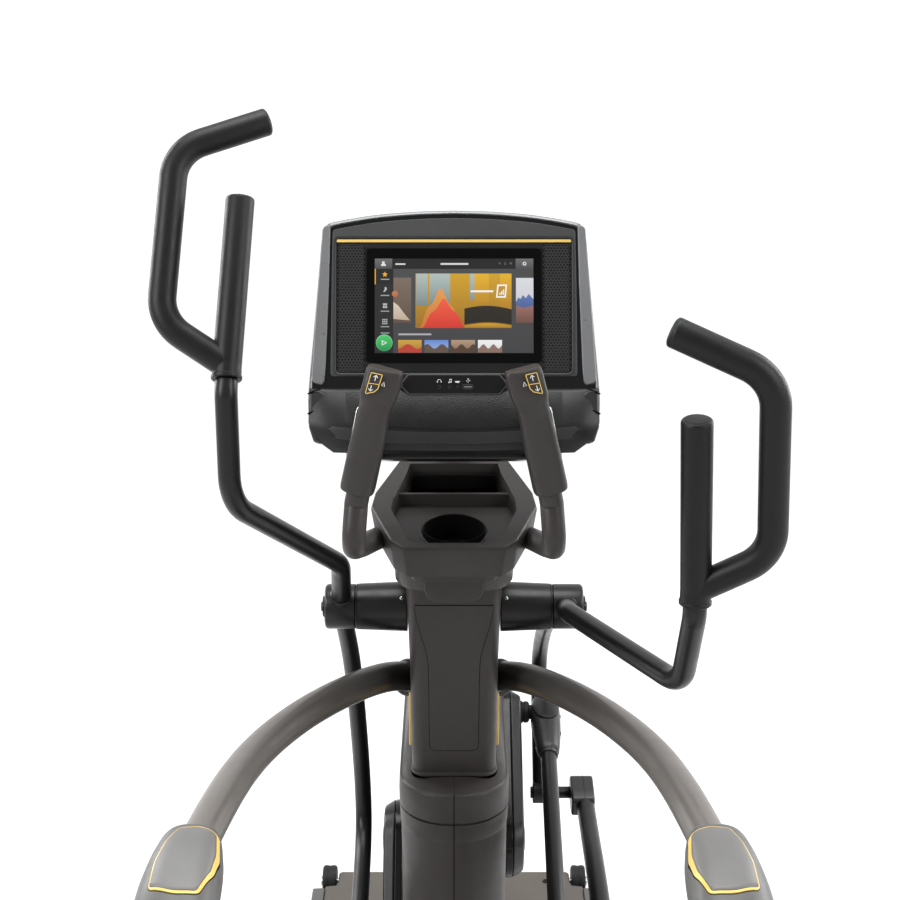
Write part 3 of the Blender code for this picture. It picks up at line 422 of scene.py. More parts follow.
def build(name, shapes):
    """One object from one or more shapes."""
    shapes = shapes if isinstance(shapes, list) else [shapes]
    points, faces = [], []
    for shape_points, shape_faces in shapes:
        start = len(points)
        points += [tuple(p) for p in shape_points]
        faces += [tuple(i + start for i in face) for face in shape_faces]
    mesh = bpy.data.meshes.new(name)
    mesh.from_pydata(points, [], faces)
    work = bmesh.new()
    work.from_mesh(mesh)
    bmesh.ops.remove_doubles(work, verts=work.verts, dist=TOUCHING)
    bmesh.ops.dissolve_degenerate(work, edges=work.edges, dist=TOUCHING)
    bmesh.ops.recalc_face_normals(work, faces=work.faces)
    work.to_mesh(mesh)
    work.free()
    made = bpy.data.objects.new(name, mesh)
    bpy.context.scene.collection.objects.link(made)
    return made


def carve(target, cuts):
    """Takes shapes away from a piece and keeps the result as its mesh."""
    tools = []
    for number, shape in enumerate(cuts):
        tool = build(f"{target.name}_cut_{number}", shape)
        step = target.modifiers.new("cut", "BOOLEAN")
        step.operation, step.solver, step.object = "DIFFERENCE", "EXACT", tool
        tools.append(tool)
    bpy.context.view_layer.update()
    solved = target.evaluated_get(bpy.context.evaluated_depsgraph_get())
    target.data = bpy.data.meshes.new_from_object(solved)
    target.modifiers.clear()
    for tool in tools:
        bpy.data.objects.remove(tool, do_unlink=True)


def finish(made, look, bevel, segments, sharp):
    """Smooth faces, round edges and a finish."""
    made.data.shade_smooth()
    made.data.set_sharp_from_angle(angle=radians(sharp))
    if bevel:
        edge = made.modifiers.new("edge", "BEVEL")
        edge.width, edge.segments = bevel, segments
        edge.limit_method, edge.angle_limit = "ANGLE", radians(sharp)
        edge.harden_normals = True
    material, slot = LOOKS[look]
    made.data.materials.clear()
    made.data.materials.append(material)


def piece(name, shapes, look, body="frame", nodes=(), bevel=0, segments=3, sharp=35, cuts=()):
    made = build(name, shapes)
    if cuts:
        carve(made, cuts)
    finish(made, look, bevel, segments, sharp)
    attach(made, body)
    if nodes:
        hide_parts(*nodes)


def keep(node, look, bevel=0.0008):
    """A CAD node that stays, with rounded edges and its own finish."""
    made = frame["nodes"][node]
    made.modifiers.new("weld", "WELD").merge_threshold = TOUCHING
    finish(made, look, bevel, 2, 35)


def screw(place, axis, radius=0.004, height=0.002):
    """A pan-head screw with a hexagonal socket."""
    head = [(-0.003, radius * 0.9), (0, radius), (height * 0.7, radius * 0.95), (height, radius * 0.7)]
    socket = [(height, radius * 0.45), (height * 0.25, radius * 0.42)]
    return lathe([*head, *socket], place, axis, 18, closed=False)


class Side:
    """One side of the linkage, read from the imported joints."""

    def __init__(self, name, sign):
        self.name, self.sign = name, sign
        self.swing = -sign * ARM_SWING
        self.arm_pin = JOINTS[f"foot_carrier_{name}_pivot"]
        self.crank_pin = JOINTS[f"crank_rod_{name}_pivot"]
        low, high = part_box(f"control_link_{name}")
        ahead = high.y - HANGER.y > HANGER.y - low.y
        self.link_pin = Vector((0, high.y - LINK_END if ahead else low.y + LINK_END, low.z + LINK_END))
        self.back = (self.link_pin - self.arm_pin).normalized()
        self.up = Vector((0, self.back.z, -self.back.y))
        self.rod_pin = self.member(0, *ROD_JOINT)

    def member(self, x, back, up):
        """A place on the foot member: this far back from the arm's pin, and above the line to the link's pin."""
        place = self.arm_pin + self.back * back + self.up * up
        return Vector((self.sign * x, place.y, place.z))

    def arm(self, point):
        """A place on the swing arm, given from the axle at its neutral angle."""
        x, y, z = point
        c, s = cos(self.swing), sin(self.swing)
        return Vector((self.sign * x, AXLE.y + y * c + z * s, AXLE.z - y * s + z * c))

    def spun(self, profile, centre, sides=56):
        """A turned shape, whose profile is given outward from the middle of the machine."""
        return lathe([(self.sign * x, r) for x, r in profile], centre, sides=sides)

    def slab(self, outline, low, high, matrix=SIDE, top_scale=1):
        """A plate seen from the side, from one width to another."""
        return prism(outline, self.sign * low, self.sign * high, matrix, top_scale)

    def flip(self, outline):
        return [(self.sign * x, y) for x, y in outline]

    def piece(self, name, shapes, look, body="frame", node=None, **more):
        """A piece whose name ends in the side's, as do its body and the node that it stands for."""
        body = body if body in ("frame", "crank") else f"{body}_{self.name}"
        nodes = [f"{node}_{self.name}"] if node else ()
        piece(f"{name}_{self.name}", shapes, look, body, nodes, **more)


LINK_END = 0.021  # from a control link's pin to its end
ROD_JOINT = (0.55, 0.139)  # along and above the foot member
side_list = [Side(name, sign) for name, sign in SIDES]


# ---------------------------------------------------------------- console

console = Matrix.Translation(at(0, -0.4, 1.366)) @ Matrix.Rotation(-CONSOLE_TILT, 4, "X")
face = console @ Matrix.Rotation(pi / 2, 4, "X")  # X right, Y up the face, Z out of it to the user
FACE_OUT = face.to_3x3() @ Z_AXIS

SILHOUETTE = [
    (0, -0.004), (0.148, -0.002), (0.175, 0.005), (0.189, 0.017), (0.1962, 0.034), (0.1983, 0.055), (0.198, 0.083),
    (0.1915, 0.16), (0.184, 0.25), (0.1805, 0.292), (0.175, 0.3065), (0.163, 0.3125), (0.11, 0.3215), (0.052, 0.3265),
    (0, 0.328)
]


MIDDLE = 0.16  # half way up the face


def console_ring(inset, depth):
    """The console's outline at a depth in front of its face, drawn in by an inset."""
    points = []
    for x, h in curve(SILHOUETTE, 5):
        points.append((max(0, x * (1 - inset / 0.19)), MIDDLE + (h - MIDDLE) * (1 - inset / 0.165)))
    ring = points + [(-x, h) for x, h in reversed(points[1:-1])]
    return placed(face, ring, depth)


shell_steps = [(0.004, -0.006), (0.0005, -0.0085), (0, -0.012), (0, -0.034), (0.003, -0.045), (0.01, -0.056)]
shell_steps += [(0.019, -0.064), (0.03, -0.0695), (0.034, -0.07)]
piece(
    "console_back", loft([console_ring(*step) for step in shell_steps]), "charcoal", nodes=["console_shell"], sharp=50
)
vents = [
    prism(rectangle(-0.085, h, 0.085, h + 0.0035, 0.0016), -0.0708, -0.069, face)
    for h in [0.215 + 0.009 * k for k in range(7)]
]
piece("console_vents", vents, "seam")
piece(
    "console_back_screws",
    [screw(face @ Vector((x, h, -0.0695)), -FACE_OUT) for x in (-0.13, 0.13) for h in (0.05, 0.25)], "satin_black"
)

# The front: an outer rim, side trims, a grey top band, a framed recess with mesh panels and the display.
rim_rings = [console_ring(0.0015, -0.0075), console_ring(0, -0.005), console_ring(0.001, -0.0015)]
rim_rings += [console_ring(0.0042, 0), console_ring(0.0052, -0.0012), console_ring(0.0056, -0.0075)]
piece("console_rim", loft(rim_rings, closed=True), "trim_grey", sharp=50)
piece("console_gap", loft([console_ring(0.0045, -0.0095), console_ring(0.0045, -0.003)]), "gloss_black", sharp=50)

for side in side_list:
    sign = side.sign
    trim = [(0.1795, 0.3035), (0.188, 0.19), (0.1935, 0.1), (0.1925, 0.0905), (0.179, 0.0865)]
    trim += [(0.1762, 0.0925), (0.1745, 0.11), (0.17, 0.235), (0.1685, 0.3075), (0.1745, 0.3085)]
    trim = fillet(side.flip(trim), 0.006, 4)
    side.piece("console_trim", prism(trim, -0.004, 0.0012, face, 0.985), "trim_grey", bevel=0.0015, sharp=30)

BAND_TOP = [(0.1655, 0.301), (0.11, 0.3105), (0.052, 0.3155), (0, 0.317)]
half = [(0.168, 0.1), (0.1668, 0.24), *curve(BAND_TOP, 6)]
FRAME_IN = (0.1608, 0.1045, 0.289)
frame_hole = rectangle(-FRAME_IN[0], FRAME_IN[1], FRAME_IN[0], FRAME_IN[2], 0.006, 5)
plate = prism(fillet(mirrored(half), 0.004, 3), -0.006, -0.0006, face)
piece(
    "console_face", plate, "band_grey", nodes=["console_bezel"], bevel=0.0011,
    cuts=[prism(frame_hole, -0.0035, 0.01, face)]
)
lip = rectangle(-0.1632, 0.102, 0.1632, 0.2914, 0.0075, 6)
lip_path = placed(face, lip, -0.0009)
piece("console_frame_lip", band(lip_path, 0.0016, 0.0016, FACE_OUT, closed=True), "part_grey", bevel=0.0004)
piece(
    "console_gold_line", prism(rectangle(-0.16, 0.2838, 0.16, 0.2876, 0.0006), -0.0034, -0.0012, face), "gold",
    bevel=0.0003
)

# The speaker panels are real perforated sheet: a honeycomb of cells with a hole in each.
PITCH, HOLE = 0.0044, 0.00135


def perforated(x0, x1, h0, h1, depth):
    """A sheet of hexagons with a hole in each."""
    points, faces, index = [], [], {}

    def add(x, y, z):
        key = (round(x, 6), round(y, 6), round(z, 6))
        if key not in index:
            index[key] = len(points)
            points.append(face @ Vector((x, y, z)))
        return index[key]

    rows = int((h1 - h0) / (PITCH * sqrt(3) / 2))
    columns = int((x1 - x0) / PITCH)
    reach = PITCH / sqrt(3)
    for row in range(rows):
        for column in range(columns):
            x = x0 + (column + 0.5 + 0.5 * (row % 2)) * PITCH
            y = h0 + (row + 0.5) * PITCH * sqrt(3) / 2
            if x + PITCH / 2 > x1:
                continue
            outer, top, low = [], [], []
            for k in range(6):
                a = pi / 6 + pi / 3 * k
                outer.append(add(x + reach * cos(a), y + reach * sin(a), depth))
                top.append(add(x + HOLE * cos(a), y + HOLE * sin(a), depth))
                low.append(add(x + HOLE * cos(a), y + HOLE * sin(a), depth - 0.0008))
            for k in range(6):
                n = (k + 1) % 6
                faces.append((outer[k], outer[n], top[n], top[k]))
                faces.append((top[k], top[n], low[n], low[k]))
    return points, faces


for side in side_list:
    sign = side.sign
    backing = rectangle(sign * 0.1403 - 0.0193, 0.105, sign * 0.1403 + 0.0193, 0.2832)
    side.piece("speaker_back", prism(backing, -0.004, -0.0032, face), "seam")
for place, left, right in (("left", -0.159, -0.1215), ("right", 0.1215, 0.159)):
    piece(f"speaker_mesh_{place}", perforated(left, right, 0.106, 0.2822, -0.002), "part_grey", sharp=60)
for place, low, high in (("lower", 0.105, 0.119), ("upper", 0.2752, 0.2825)):
    strip = prism(rectangle(-0.1215, low, 0.1215, high, 0.0005), -0.0034, -0.0022, face)
    piece(f"console_{place}_face", strip, "charcoal", bevel=0.0003)
piece(
    "display_glass", prism(rectangle(-0.12, 0.1186, 0.12, 0.2758, 0.007, 6), -0.0045, -0.0008, face), "screen_glass",
    nodes=["display"], bevel=0.0006
)

# The lit picture: bars, cards and icons of a generic menu. Places are shares of its width and height.
SCREEN = (-0.108, 0.1318, 0.1082, 0.261)
SCREEN_FRONT = -0.0006
WIDE, TALL = SCREEN[2] - SCREEN[0], SCREEN[3] - SCREEN[1]


def lit(name, shapes, top, bottom=None, span=(0, 1), layer=1):
    """Lit shapes on the display, drawn as outlines in shares of the picture from its top left."""

    def place(u, v):
        return SCREEN[0] + WIDE * u, SCREEN[3] - TALL * v

    if not isinstance(shapes, list) or not isinstance(shapes[0], list):
        shapes = [shapes]
    spans = [place(0, v)[1] for v in span]
    z_high, z_low = ((face @ Vector((0, h, 0))).z for h in spans)
    bottom = bottom or tuple(0.88 * c for c in top)
    LOOKS[name] = (lit_look(name, shade(*top), shade(*bottom), z_low, z_high), "glass")
    rise = SCREEN_FRONT + 0.00012 * layer
    parts = [prism([place(u, v) for u, v in outline], rise - 0.0003, rise, face) for outline in shapes]
    piece(name, parts, name)


def cell(u0, v0, u1, v1):
    """A rectangle in shares of the picture."""
    return [(x / WIDE, y / TALL) for x, y in rectangle(u0 * WIDE, v0 * TALL, u1 * WIDE, v1 * TALL)]


def dot(u, v, size, steps=28):
    """A disc on the picture, round on the glass."""
    return [(u + size * cos(a) / WIDE, v + size * sin(a) / TALL) for a in turn(steps)]


lit("ui_ground", cell(0, 0, 1, 1), (70, 70, 72), (58, 58, 60), layer=1)
lit("ui_top_bar", cell(0, 0, 1, 0.108), (12, 12, 13), layer=2)
lit(
    "ui_corner_keys", [cell(0, 0, 0.11, 0.108), cell(0.888, 0, 1, 0.108)], (104, 104, 106), (70, 70, 72), (0, 0.11), 3
)
lit("ui_side_bar", cell(0, 0.108, 0.117, 1), (30, 30, 32), (24, 24, 26), layer=2)
lit("ui_side_pick", cell(0, 0.108, 0.117, 0.272), (17, 17, 18), layer=3)
lit("ui_side_accent", cell(0, 0.108, 0.0065, 0.272), (236, 172, 40), layer=4)
star = []
for k in range(10):
    a = pi / 2 + pi / 5 * k
    size = 0.004 if k % 2 == 0 else 0.0017
    star.append((0.064 + size * cos(a) / WIDE, 0.168 - size * sin(a) / TALL))
lit("ui_star", star, (248, 178, 40), layer=4)
side_lines = [cell(0.038, v, 0.092, v + 0.011) for v in (0.214, 0.385, 0.552, 0.716, 0.783)]
lit("ui_side_lines", side_lines, (168, 168, 170), layer=4)
side_icons = [
    [(0.053, 0.352), (0.064, 0.325), (0.06, 0.312), (0.07, 0.318), (0.078, 0.31), (0.074, 0.332), (0.064, 0.352)],
    cell(0.052, 0.475, 0.078, 0.492), cell(0.052, 0.498, 0.064, 0.525), cell(0.067, 0.498, 0.078, 0.525)
]
side_icons += [
    cell(0.0475 + 0.012 * i, 0.64 + 0.021 * j, 0.056 + 0.012 * i, 0.654 + 0.021 * j) for i in range(3)
    for j in range(3)
]
side_icons += [dot(0.068, 0.308, 0.0011, 12)]
lit("ui_side_icons", side_icons, (196, 196, 198), layer=4)
lit("ui_go", dot(0.0605, 0.892, 0.0106, 40), (70, 198, 104), (18, 140, 72), (0.81, 0.98), 4)
lit("ui_go_ring", dot(0.0605, 0.892, 0.0113, 40), (150, 226, 170), (60, 170, 100), (0.81, 0.98), 3)
lit("ui_go_arrow", [(0.045, 0.862), (0.045, 0.922), (0.08, 0.892)], (240, 250, 242), layer=5)
lit("ui_go_notch", [(0.052, 0.878), (0.052, 0.906), (0.068, 0.892)], (44, 168, 88), layer=6)
lit("ui_top_line", [cell(0.415, 0.047, 0.59, 0.066), cell(0.13, 0.05, 0.193, 0.066)], (216, 216, 216), layer=4)
gear = [dot(0.944, 0.054, 0.0026, 20)]
keys = gear + [cell(0.046, 0.03, 0.062, 0.078), cell(0.04, 0.058, 0.07, 0.078)]
lit("ui_key_marks", keys, (222, 222, 222), layer=5)
lit("ui_gear_hole", dot(0.944, 0.054, 0.0012, 16), (86, 86, 88), layer=6)
fans = []
for u, size in ((0.787, 0.0016), (0.858, 0.0022)):
    fans.append([(u, 0.066), (u - size / WIDE, 0.046), (u, 0.038), (u + size / WIDE, 0.046)])
fans.append(cell(0.818, 0.04, 0.826, 0.068))
lit("ui_status", fans, (92, 92, 94), layer=4)

CARD = (0.257, 0.158, 0.862, 0.735)
lit("ui_card", cell(*CARD), (206, 158, 30), (150, 104, 14), (0.15, 0.74), 3)
windows = [cell(0.262, 0.16, 0.334, 0.5), cell(0.345, 0.16, 0.475, 0.62), cell(0.6, 0.16, 0.628, 0.44)]
lit("ui_card_windows", windows, (176, 190, 186), (86, 104, 108), (0.15, 0.62), 4)
lit(
    "ui_card_glow", [cell(0.628, 0.16, 0.72, 0.47), cell(0.79, 0.16, 0.862, 0.52)], (228, 176, 34), (176, 126, 20),
    (0.15, 0.52), 4
)
hill = [(0.3, 0.735)]
for k in range(25):
    t = k / 24
    hill.append((0.3 + 0.27 * t, 0.735 - 0.26 * sin(pi * t) ** 1.6 - 0.05 * sin(3 * pi * t) ** 2))
hill.append((0.57, 0.735))
lit(
    "ui_card_hill_far", [(u - 0.02, v - (0.735 - v) * 0.35) for u, v in hill], (224, 150, 72), (196, 110, 40),
    (0.36, 0.735), 5
)
lit("ui_card_hill", hill, (236, 88, 60), (206, 46, 34), (0.45, 0.735), 6)
belt, belt_edge = [], []
for k in range(25):
    t = k / 24
    belt.append((0.565 + 0.297 * t, 0.555 - 0.055 * sin(pi * (0.15 + 0.75 * t))))
    belt_edge.append((0.565 + 0.297 * t, 0.705 - 0.03 * sin(pi * (0.05 + 0.9 * t))))
lit("ui_card_belt", belt + belt_edge[::-1], (34, 26, 10), (20, 16, 8), (0.5, 0.72), 5)
lower_belt = [(0.565, 0.735)] + [(u, v + 0.012) for u, v in belt_edge] + [(0.862, 0.735)]
lit("ui_card_belt_edge", lower_belt, (214, 164, 36), (160, 112, 18), (0.68, 0.735), 6)
upper_belt = [(u, v - 0.022) for u, v in belt] + [(u, v - 0.004) for u, v in belt][::-1]
lit("ui_card_belt_top", upper_belt, (184, 138, 26), layer=6)
emblem = [(0.772, 0.275), (0.834, 0.275), (0.826, 0.415), (0.764, 0.415)]
emblem_in = [(0.781, 0.292), (0.824, 0.292), (0.817, 0.398), (0.774, 0.398)]
lit("ui_card_emblem", emblem, (250, 250, 246), layer=6)
lit("ui_card_emblem_in", emblem_in, (196, 146, 26), layer=7)
bars = [
    [
        (0.785 + 0.011 * k, 0.385), (0.792 + 0.011 * k, 0.385), (0.793 + 0.011 * k, 0.362 - 0.018 * k),
        (0.786 + 0.011 * k, 0.362 - 0.018 * k)
    ]
    for k in range(3)
]
lit(
    "ui_card_emblem_bars", bars + [[(0.605, 0.337), (0.748, 0.337), (0.746, 0.357), (0.603, 0.357)]], (250, 250, 246),
    layer=8
)

lit("ui_left_card", cell(0.118, 0.202, 0.23, 0.68), (120, 104, 94), (92, 72, 60), (0.2, 0.68), 3)
lit(
    "ui_left_card_sail", [(0.118, 0.64), (0.118, 0.46), (0.15, 0.5), (0.185, 0.58), (0.222, 0.655)], (214, 202, 184),
    (186, 166, 144), (0.46, 0.66), 4
)
lit("ui_left_card_orb", dot(0.127, 0.375, 0.0042), (206, 128, 84), (160, 84, 50), (0.32, 0.44), 4)
lit("ui_right_card", cell(0.89, 0.205, 1, 0.68), (214, 216, 222), (196, 190, 196), (0.2, 0.68), 3)
ridge = [(0.89, 0.46), (0.905, 0.41), (0.918, 0.43), (0.934, 0.385), (0.952, 0.42), (0.97, 0.375), (1, 0.43)]
lit("ui_right_card_ridge", ridge + [(1, 0.54), (0.89, 0.54)], (92, 116, 176), (70, 88, 140), (0.38, 0.54), 4)
lit(
    "ui_right_card_plain", [(0.89, 0.5), (0.94, 0.52), (1, 0.5), (1, 0.68), (0.89, 0.68)], (150, 104, 96),
    (104, 70, 60), (0.5, 0.68), 5
)
lit("ui_row_line", cell(0.15, 0.793, 0.357, 0.812), (186, 186, 188), layer=3)
thumbs = [(0.148, 0.296), (0.314, 0.464), (0.482, 0.632), (0.65, 0.802)]
thumb_tones = [
    ((204, 160, 60), (150, 110, 36)), ((96, 132, 206), (150, 176, 214)), ((176, 148, 124), (120, 88, 66)),
    ((238, 238, 238), (210, 210, 208))
]
for number, ((u0, u1), (top, bottom)) in enumerate(zip(thumbs, thumb_tones)):
    lit(f"ui_thumb_{number}", cell(u0, 0.862, u1, 0.995), top, bottom, (0.86, 1), 3)
    wave = [(u0, 0.995)]
    for k in range(13):
        t = k / 12
        wave.append((u0 + (u1 - u0) * t, 0.955 - 0.05 * sin(pi * t * (1.2 + 0.4 * number) + number) ** 2))
    wave.append((u1, 0.995))
    tone = [(206, 66, 50), (104, 84, 72), (88, 62, 46), (150, 120, 108)][number]
    lit(f"ui_thumb_wave_{number}", wave, tone, layer=4)

# Port panel in front of the face, with its sockets and printed marks.
hexagon = [(-0.0625, 0.1018), (-0.0718, 0.0895), (-0.0718, 0.085), (-0.0618, 0.0735)]
hexagon += [(0.0618, 0.0735), (0.0718, 0.085), (0.0718, 0.0895), (0.0625, 0.1018)]
hexagon = fillet(hexagon, 0.004, 4)
piece("port_panel_rim", prism(hexagon, -0.004, 0.0176, face), "band_grey", bevel=0.0012)
inner_hexagon = [(x * 0.972, 0.0877 + (h - 0.0877) * 0.88) for x, h in hexagon]
piece("port_panel", prism(inner_hexagon, 0.004, 0.0182, face), "gloss_black", bevel=0.0005)
port_z = 0.0182
sockets = []
for x, radius in ((-0.0198, 0.0025), (-0.0058, 0.0025), (0.0046, 0.0019)):
    place = face @ Vector((x, 0.0838, port_z))
    sockets.append(
        lathe(
            [(-0.002, radius), (0.0007, radius), (0.0007, radius * 0.62), (-0.002, radius * 0.5)], place, FACE_OUT, 24
        )
    )
piece("port_sockets", sockets, "part_grey", bevel=0.0001)
usb = rectangle(0.012, 0.0812, 0.0258, 0.0868, 0.0018)
usb_path = placed(face, usb, port_z)
piece("usb_socket", band(usb_path, 0.0008, 0.0007, FACE_OUT, closed=True), "band_grey", bevel=0.0001)
piece("usb_tongue", prism(rectangle(0.0138, 0.0832, 0.024, 0.085), port_z, port_z + 0.0003, face), "steel")
icon_z = port_z + 0.0003
arc = [(-0.0198 + 0.0026 * cos(a), 0.0912 + 0.0028 * sin(a)) for a in [pi * k / 10 for k in range(11)]]
marks = [band(placed(face, arc, port_z), 0.0007, 0.0003, FACE_OUT)]
marks += [prism(circle((x, 0.0909), 0.0009, 12), port_z, icon_z, face) for x in (-0.0224, -0.0172)]
marks += [prism(circle((x, h), 0.0009, 12), port_z, icon_z, face) for x, h in ((-0.007, 0.09), (-0.0042, 0.0906))]
marks += [prism(rectangle(x, 0.09, x + 0.0005, 0.0942), port_z, icon_z, face) for x in (-0.0063, -0.0036)]
marks += [prism([(-0.0063, 0.0942), (-0.0063, 0.093), (-0.0031, 0.0936), (-0.0031, 0.0948)], port_z, icon_z, face)]
marks += [prism([(0.0014, 0.0918), (0.0078, 0.0918), (0.007, 0.0896), (0.0022, 0.0896)], port_z, icon_z, face)]
marks += [prism(rectangle(0.0188, 0.0892, 0.0193, 0.0946), port_z, icon_z, face)]
marks += [prism([(0.018, 0.094), (0.0201, 0.094), (0.01905, 0.0958)], port_z, icon_z, face)]
marks += [prism(circle((0.0172, 0.092), 0.0006, 10), port_z, icon_z, face)]
marks += [prism(rectangle(0.0205, 0.0918, 0.0215, 0.0928), port_z, icon_z, face)]
piece("port_marks", marks, "white_print")

# Lower shelf: bowed in plan and lower in the middle, with a grained face, a groove and a smooth lip.
SHELF_HALF = 0.1965


def shelf_section(profile, dip, bulge, stations=28, half=SHELF_HALF):
    """A profile (out, up, share of the dip) run across the console, bowed out and down in the middle."""
    rings = []
    for k in range(stations + 1):
        t = -1 + 2 * k / stations
        curve = 1 - t * t
        close = 1 - 0.55 * abs(t) ** 10
        ring = []
        for out, h, sway in profile:
            narrow = min(1, max(0, (0.036 - h) / 0.04))
            wide = half * t * (1 - 0.17 * narrow**1.8)
            ring.append(face @ Vector((wide, h - dip * curve * sway, out * close + bulge * curve * (out > 0))))
        rings.append(ring)
    return loft(rings)


body_profile = [(-0.009, 0.084, 0), (0.002, 0.0835, 0), (0.0075, 0.082, 0), (0.012, 0.078, 0), (0.0255, 0.04, 1)]
body_profile += [(0.0265, 0.036, 1), (0.0262, 0.02, 1), (0.02, 0.004, 0.6), (0.008, -0.004, 0.3), (-0.009, -0.003, 0)]
piece("console_shelf_body", shelf_section(body_profile, 0.011, 0.002), "charcoal", nodes=["console_shelf"], sharp=32)
grain_profile = [(0.0118, 0.0795, 0), (0.014, 0.077, 0), (0.0275, 0.041, 1), (0.027, 0.0375, 1), (0.02, 0.038, 1)]
grain_profile += [(0.008, 0.076, 0)]
piece("console_grain", shelf_section(grain_profile, 0.011, 0.002, half=0.17), "leather_grain", sharp=32)
lip_profile = [(0.024, 0.0335, 1), (0.0285, 0.033, 1), (0.0292, 0.029, 1), (0.0282, 0.0175, 1), (0.024, 0.015, 1)]
piece("console_lip", shelf_section(lip_profile, 0.011, 0.001, half=0.188), "part_grey", sharp=40)
for side in side_list:
    sign = side.sign
    cheek = [
        (0.1962, 0.079), (0.1965, 0.03), (0.19, 0.01), (0.178, 0.006), (0.1735, 0.02), (0.1735, 0.076), (0.182, 0.081)
    ]
    cheek = fillet(side.flip(cheek), 0.005, 4)
    side.piece("console_cheek", prism(cheek, -0.006, 0.012, face, 0.97), "part_grey", bevel=0.004, sharp=30)
    for number, h in enumerate((0.0745, 0.0475)):
        groove = smooth(
            [
                (sign * 0.1975, h + 0.0005, 0.0115), (sign * 0.19, h + 0.004, 0.0122),
                (sign * 0.18, h + 0.0075, 0.0122)
            ],
            6
        )
        groove = [face @ p for p in groove]
        piece(f"console_groove_{side.name}_{number}", tube(groove, [0.0012] * len(groove), 10, (0, 0)), "seam")
piece(
    "console_underside", prism(rectangle(-0.15, -0.014, 0.15, 0.01, 0.006), -0.05, 0.006, face, 0.96), "gloss_black",
    bevel=0.004
)
keep("console_bracket", "satin_black", 0.0015)

# ---------------------------------------------------------------- tray, collar and mast

RIM_OUTER = [(0.068, -0.4215), (0.088, -0.402), (0.1185, -0.322), (0.114, -0.286), (0.079, -0.196), (0.066, -0.189)]
RIM_INNER = [(0.056, -0.4075), (0.064, -0.4), (0.0885, -0.328), (0.087, -0.303), (0.066, -0.23), (0.056, -0.222)]
RIM_LOW = [(0.05, -0.2), (0.068, -0.19), (0.078, -0.14), (0.08, -0.06), (0.068, 0.015), (0.05, 0.03)]


RIM_FRONT, RIM_LOWEST, RIM_SLOPE = -0.42, 1.232, 0.2652


def rim_height(y):
    """The height of the tray's sloping rim."""
    return RIM_LOWEST + (y - RIM_FRONT) * RIM_SLOPE


def tray_ring(half, lift=None, z=None, scale=1, centre=-0.305, radius=0.012):
    """An outline of the tray, level at z or at a lift from the sloping rim."""
    outline = [(x * scale, centre + (y - centre) * scale) for x, y in fillet(mirrored(half), radius, 5)]
    return [at(x, y, z if lift is None else rim_height(y) + lift) for x, y in outline]


outer_top = tray_ring(RIM_OUTER, -0.005)
outer_low = tray_ring(RIM_OUTER, -0.045, scale=0.945, centre=-0.33)
base_ring = tray_ring(RIM_LOW, z=1.118)
tray_rings = [
    tray_ring(RIM_LOW, z=1.0905, scale=0.94, centre=-0.11), base_ring,
    [a.lerp(b, 0.35) + Vector((0, 0, 0.006)) for a, b in zip(base_ring, outer_low)],
    [a.lerp(b, 0.75) + Vector((0, 0, 0.003)) for a, b in zip(base_ring, outer_low)], outer_low, outer_top,
    tray_ring(RIM_OUTER, -0.0015, scale=0.994), tray_ring(RIM_OUTER, 0, scale=0.982),
    tray_ring(RIM_INNER, 0, scale=1.012, radius=0.01), tray_ring(RIM_INNER, -0.002, scale=1, radius=0.01),
    tray_ring(RIM_INNER, -0.025, scale=0.965, radius=0.01)
]
cup_axis = (at(0, -0.34, 1.188), at(0, -0.352, 1.29))
POCKET_FRONT, POCKET_BACK = -0.272, -0.212


def pocket_ring(half, z, inset=0):
    """The phone pocket's outline at a height. It is wider in front."""
    front, back = POCKET_FRONT + inset, POCKET_BACK - inset
    return [at(x, y, z) for x, y in ((-half, front), (half, front), (half * 0.85, back), (-half * 0.85, back))]


pocket = [pocket_ring(0.07, 1.195), pocket_ring(0.08, 1.34)]
piece(
    "tray_body", loft(tray_rings), "warm_grey", nodes=["tray"], sharp=28, bevel=0.0014,
    cuts=[tube(cup_axis, 0.044, 48, (0, 0)), loft(pocket)]
)
deck_lift = -0.025
divider = [(0.0835, -0.279), (0.0835, -0.2745), (-0.0835, -0.2745), (-0.0835, -0.279)]
piece(
    "tray_divider",
    loft([[at(x, y, rim_height(y) + lift) for x, y in divider] for lift in (deck_lift - 0.004, -0.0075)]),
    "warm_grey", bevel=0.001
)
cup_centre = at(0, -0.3445, rim_height(-0.3445) + deck_lift)
CUP_FLOOR = at(0, -0.3405, 1.1895)
cup_lip = [(-0.004, 0.044), (-0.004, 0.0462), (0.0012, 0.0475), (0.0022, 0.0462), (0.0015, 0.0445)]
rim_normal = Vector((0, -RIM_SLOPE, 1)).normalized()
piece("cup_ring", lathe(cup_lip, cup_centre, rim_normal, 64), "warm_grey", sharp=50)
piece(
    "cup_mat", lathe([(0, 0), (0, 0.0425), (0.0015, 0.0425), (0.0015, 0)], CUP_FLOOR, rim_normal, 48), "rubber",
    bevel=0.0005
)
mat_ribs = [
    lathe([(0.0015, r), (0.0015, r + 0.0018), (0.0026, r + 0.0014), (0.0026, r + 0.0004)], CUP_FLOOR, rim_normal, 40)
    for r in (0.008, 0.016, 0.024, 0.032)
]
piece("cup_mat_ribs", mat_ribs, "rubber")

